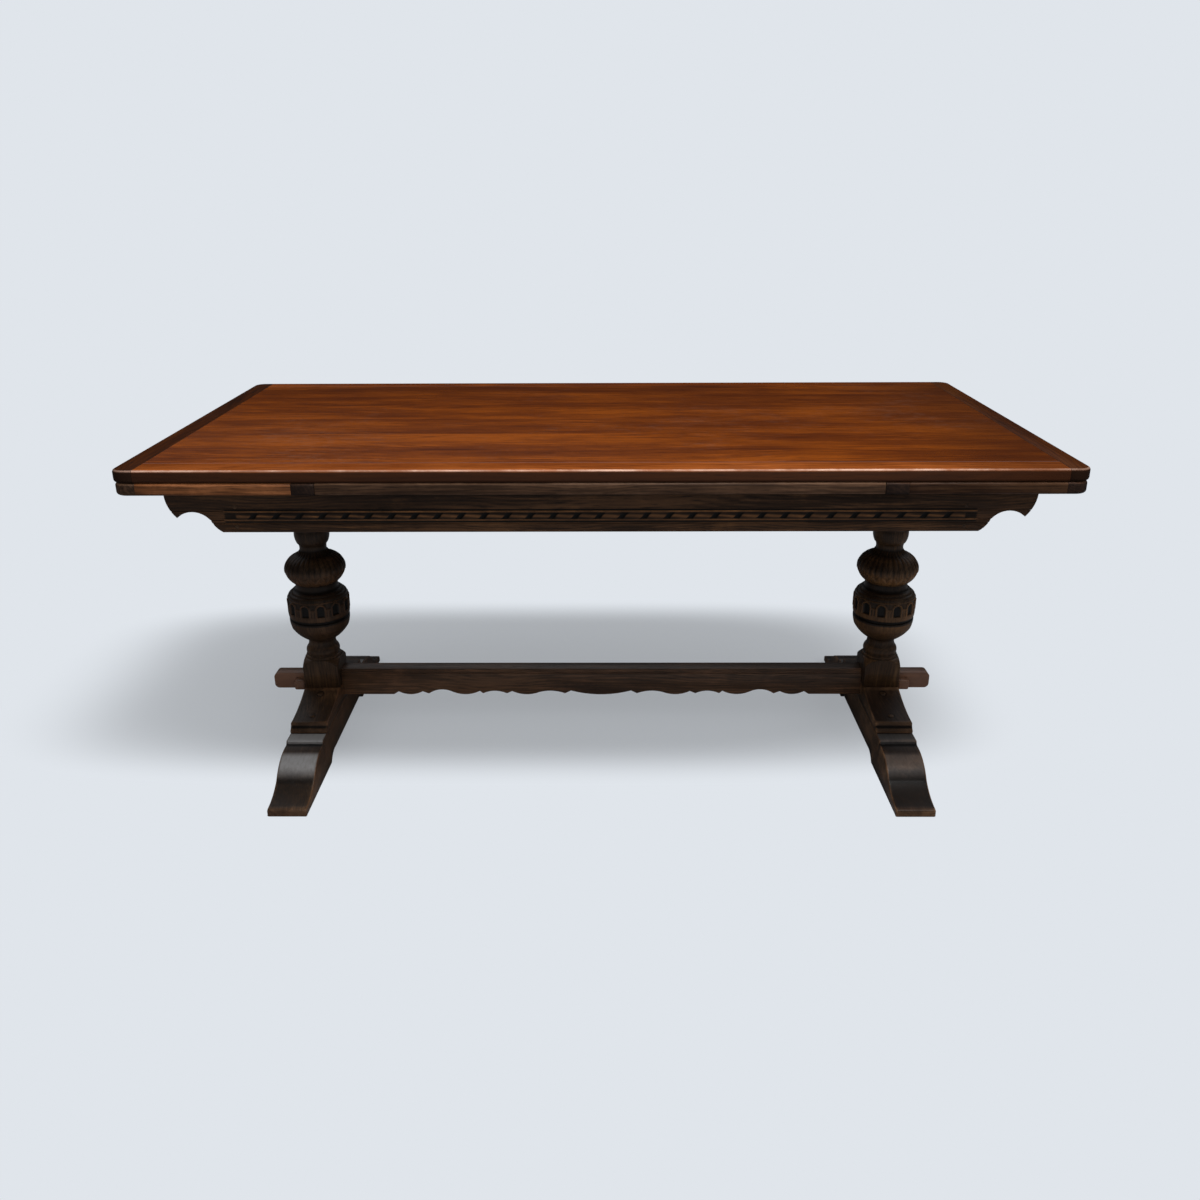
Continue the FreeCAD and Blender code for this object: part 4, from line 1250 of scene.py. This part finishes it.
    def _cover_leaves(self, theta: Array, z: Array) -> Array:
        """Leaves that hang over the cover, and pointed leaves that rise to meet them.

        The tips of the hanging leaves follow a power of the distance from the leaf's
        middle, and so do the crests of the rising ones, which stand half a leaf further on.
        """
        turn = theta * self.leaves / (2 * math.pi)
        edge, side = (np.abs(2 * (t - np.floor(t) - 0.5)) for t in (turn, turn + 0.5))
        before, after = self.edge_mm
        tip = self.hang_tip_mm + self.hang_rise_mm * edge ** self.hang_power
        hang = smooth_step(tip - before, tip + after, z) * smooth_step(*self.hang_top_mm, z)
        vein = self.vein_depth_mm * ridge(edge, self.vein_width)
        flute = -self.flute_depth_mm * edge ** self.flute_power - vein
        wave = np.sin((z - self.rib_slope_mm * edge) * self.rib_turn)
        ribs = self.rib_depth_mm * wave * (edge > self.rib_start)
        upper = hang * (self.hang_height_mm + flute + ribs)
        crest = self.rise_crest_mm - self.rise_drop_mm * side ** self.rise_power
        low = smooth_step(crest + after, crest - before, z) * smooth_step(*self.rise_foot_mm, z)
        vein = self.rise_vein_mm * ridge(side, self.rise_vein_width)
        lower = low * (1 - hang) * (self.rise_height_mm - vein)
        *foot, top = self.ground_mm
        bare = (1 - hang) * (1 - low) * smooth_step(*foot, z) * (z < top)
        return upper + lower - self.ground_depth_mm * bare


@dataclass
class HiddenParts:
    """What stays as its solid: the inner frame, the lopers, the guides and the screws."""

    single: Sequence[tuple[str, Grain]] = (
        ("centre_rail", Grain.ACROSS), ("corner_blocks", Grain.UPRIGHT),
    )
    paired: Sequence[tuple[str, Grain]] = (
        ("end_rail", Grain.ACROSS), ("top_bearer", Grain.ACROSS), ("guide_block", Grain.LONG),
        ("keeper_bar", Grain.ACROSS), ("loper_front", Grain.LONG), ("loper_back", Grain.LONG),
        ("loper_stops", Grain.LONG),
    )
    steel: Sequence[str] = (
        "board_screws", "bearer_screws", "keeper_screws", "loper_screws_left",
        "loper_screws_right",
    )

    def dress(self) -> None:
        """Gives each solid its finish."""
        both = [(f"{part}_{side}", grain) for part, grain in self.paired for side in SIDES]
        for node, grain in (*self.single, *both):
            self._cover(node, INNER_OAK.dress(grain))
        for node in self.steel:
            self._cover(node, ScrewSteel().dress())

    def _cover(self, node: str, material: bpy.types.Material) -> None:
        """Puts one material in every slot of a node."""
        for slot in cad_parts[node].material_slots:
            slot.material = material
        LOG.info("%s keeps its solid", node)


@dataclass
class Studio:
    """Pale floor and backdrop, an even sky of soft light, and the photograph's camera."""

    backdrop: str = "e0e5eb"
    lens_mm: float = 31.720
    sensor_mm: float = 36.0
    turn_degrees: Three = (69.635, -0.258, 0.513)
    place: Three = (0.0103, -2.3683, 1.2922)
    shift: Pair = (0.00321, -0.02128)
    far_clip: float = 200.0
    sky_way: Three = (0.28, -0.89, 0.35)
    sky_limits: Pair = (0.1, 0.6)
    sky_bright: float = 0.74
    sky_dim: float = 0.16
    gleam: float = 0.6
    gleam_least: float = 0.02
    gleam_behind: Pair = (0.0, 0.4)
    gleam_height: Pair = (0.34, 0.50)
    lamp_watts: float = 76.0
    lamp_side: float = 1.0
    lamp_place: Three = (0.65, -1.07, 3.5)
    lamp_aim: Three = (0.0, 0.0, 0.4)
    floor_half: float = 40.0
    floor_shade: str = "808286"
    floor_glow: float = 0.40
    shadow_middle: Pair = (-0.24, 0.30)
    shadow_reach: Pair = (1.40, 0.60)
    shadow_limits: Pair = (0.36, 0.92)

    def build(self) -> None:
        """Builds the camera, the world, the lamp and the floor."""
        self._camera()
        self._world()
        self._lamp()
        self._floor()
        bpy.context.scene.view_settings.view_transform = "Standard"

    def _camera(self) -> None:
        """The camera, looking slightly down at the front."""
        data = bpy.data.cameras.new("camera")
        data.lens = self.lens_mm
        data.sensor_width = self.sensor_mm
        data.sensor_fit = "HORIZONTAL"
        data.shift_x, data.shift_y = self.shift
        data.clip_end = self.far_clip
        camera = new_piece("camera", data)
        camera.location = self.place
        pitch, roll, yaw = (math.radians(a) for a in self.turn_degrees)
        turn = Euler((pitch, 0.0, yaw)).to_matrix() @ Euler((0.0, 0.0, roll)).to_matrix()
        camera.rotation_euler = turn.to_euler()
        bpy.context.scene.camera = camera

    def _world(self) -> None:
        """Light from the front, a little to the right and from above.

        The camera sees the backdrop's colour, and polished faces mirror the part of it
        that stands high behind the table.
        """
        world = bpy.data.worlds.new("studio")
        bpy.context.scene.world = world
        graph = empty_graph(world)
        way = add_node(graph.tree, "TexCoord").outputs["Generated"]
        toward = graph.vector("DOT_PRODUCT", way, self.sky_way).outputs["Value"]
        level = graph.fade(toward, self.sky_limits, (self.sky_dim, self.sky_bright))
        _, back, up = graph.split(way)
        behind = graph.fade(back, self.gleam_behind)
        high = graph.fade(up, self.gleam_height, (0.0, self.gleam))
        both = graph.math("MULTIPLY_ADD", behind, high, self.gleam_least)
        white, pale = linear("ffffff"), linear(self.backdrop)
        light, gleam, seen = (
            add_node(graph.tree, "Background", None, {"Color": c, "Strength": s}).outputs[0]
            for c, s in ((white, level), (pale, both), (pale, 1.0))
        )
        path = add_node(graph.tree, "LightPath").outputs
        mirrored = graph.mix_shader(path["Is Glossy Ray"], light, gleam)
        graph.finish(graph.mix_shader(path["Is Camera Ray"], mirrored, seen), "OutputWorld")

    def _lamp(self) -> None:
        """One soft lamp high in front, a little to the right, turned to the table."""
        data = bpy.data.lights.new("softbox", "AREA")
        data.shape = "SQUARE"
        data.size = self.lamp_side
        data.energy = self.lamp_watts
        lamp = new_piece("softbox", data)
        lamp.location = self.lamp_place
        aim = Vector(self.lamp_aim) - Vector(self.lamp_place)
        lamp.rotation_euler = aim.to_track_quat("-Z", "Y").to_euler()

    def _floor(self) -> None:
        """A floor that keeps the shadow near the table and fades into the backdrop.

        The fade follows the fourth-power ellipse round the shadow's middle.
        """
        sides = np.array([-self.floor_half, self.floor_half])
        x, y = np.meshgrid(sides, sides)
        floor = grid_mesh("floor", np.stack([x, y, np.zeros((2, 2))], axis=-1))
        material = bpy.data.materials.new("pale_floor")
        graph = empty_graph(material)
        centre, reach = np.array(self.shadow_middle), np.array(self.shadow_reach)
        inputs = {
            "Vector": graph.place(),
            "Location": (*(-centre / reach), 0.0),
            "Scale": (*(1 / reach), 1.0),
        }
        squeezed = add_node(graph.tree, "Mapping", None, inputs).outputs[0]
        squared = graph.vector("MULTIPLY", squeezed, squeezed).outputs[0]
        away = graph.vector("LENGTH", squared).outputs["Value"]
        far = graph.fade(away, self.shadow_limits, (self.floor_glow, 1.0))
        seen = add_node(graph.tree, "LightPath").outputs["Is Camera Ray"]
        pale = linear(self.backdrop)
        colour = graph.blend(seen, linear(self.floor_shade), pale)
        matt = add_node(graph.tree, "BsdfDiffuse", None, {"Color": colour}).outputs[0]
        inputs = {"Color": pale, "Strength": 1.0}
        glow = add_node(graph.tree, "Emission", None, inputs).outputs[0]
        graph.finish(graph.mix_shader(graph.math("MULTIPLY", far, seen), matt, glow))
        floor.data.materials.append(material)


def main() -> None:
    """Builds the table's pieces in order, then the studio."""
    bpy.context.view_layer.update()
    Boards().build()
    Underframe().build()
    for row in ("front", "back"):
        CarvedBand().build(row)
    Sledge(-TRESTLE_MM, "left", FRAME_OAK, sheen_strength=1.1, upper_darkening=0.5).build()
    Column(-TRESTLE_MM, "left", FRAME_OAK, turn_degrees=3.0, warm=0.8).build()
    # The right foot is painted darker, as painted shade, and the right column lighter, as painted
    # light
    Sledge(TRESTLE_MM, "right", SHADED_FOOT_OAK, sheen_strength=0.2, upper_darkening=0.6).build()
    Column(TRESTLE_MM, "right", LIT_FRAME_OAK, turn_degrees=-4.0, warm=1.5).build()
    HiddenParts().dress()
    Studio().build()


if __name__ == "__main__":
    logging.basicConfig(level=logging.INFO, format="%(message)s")
    main()
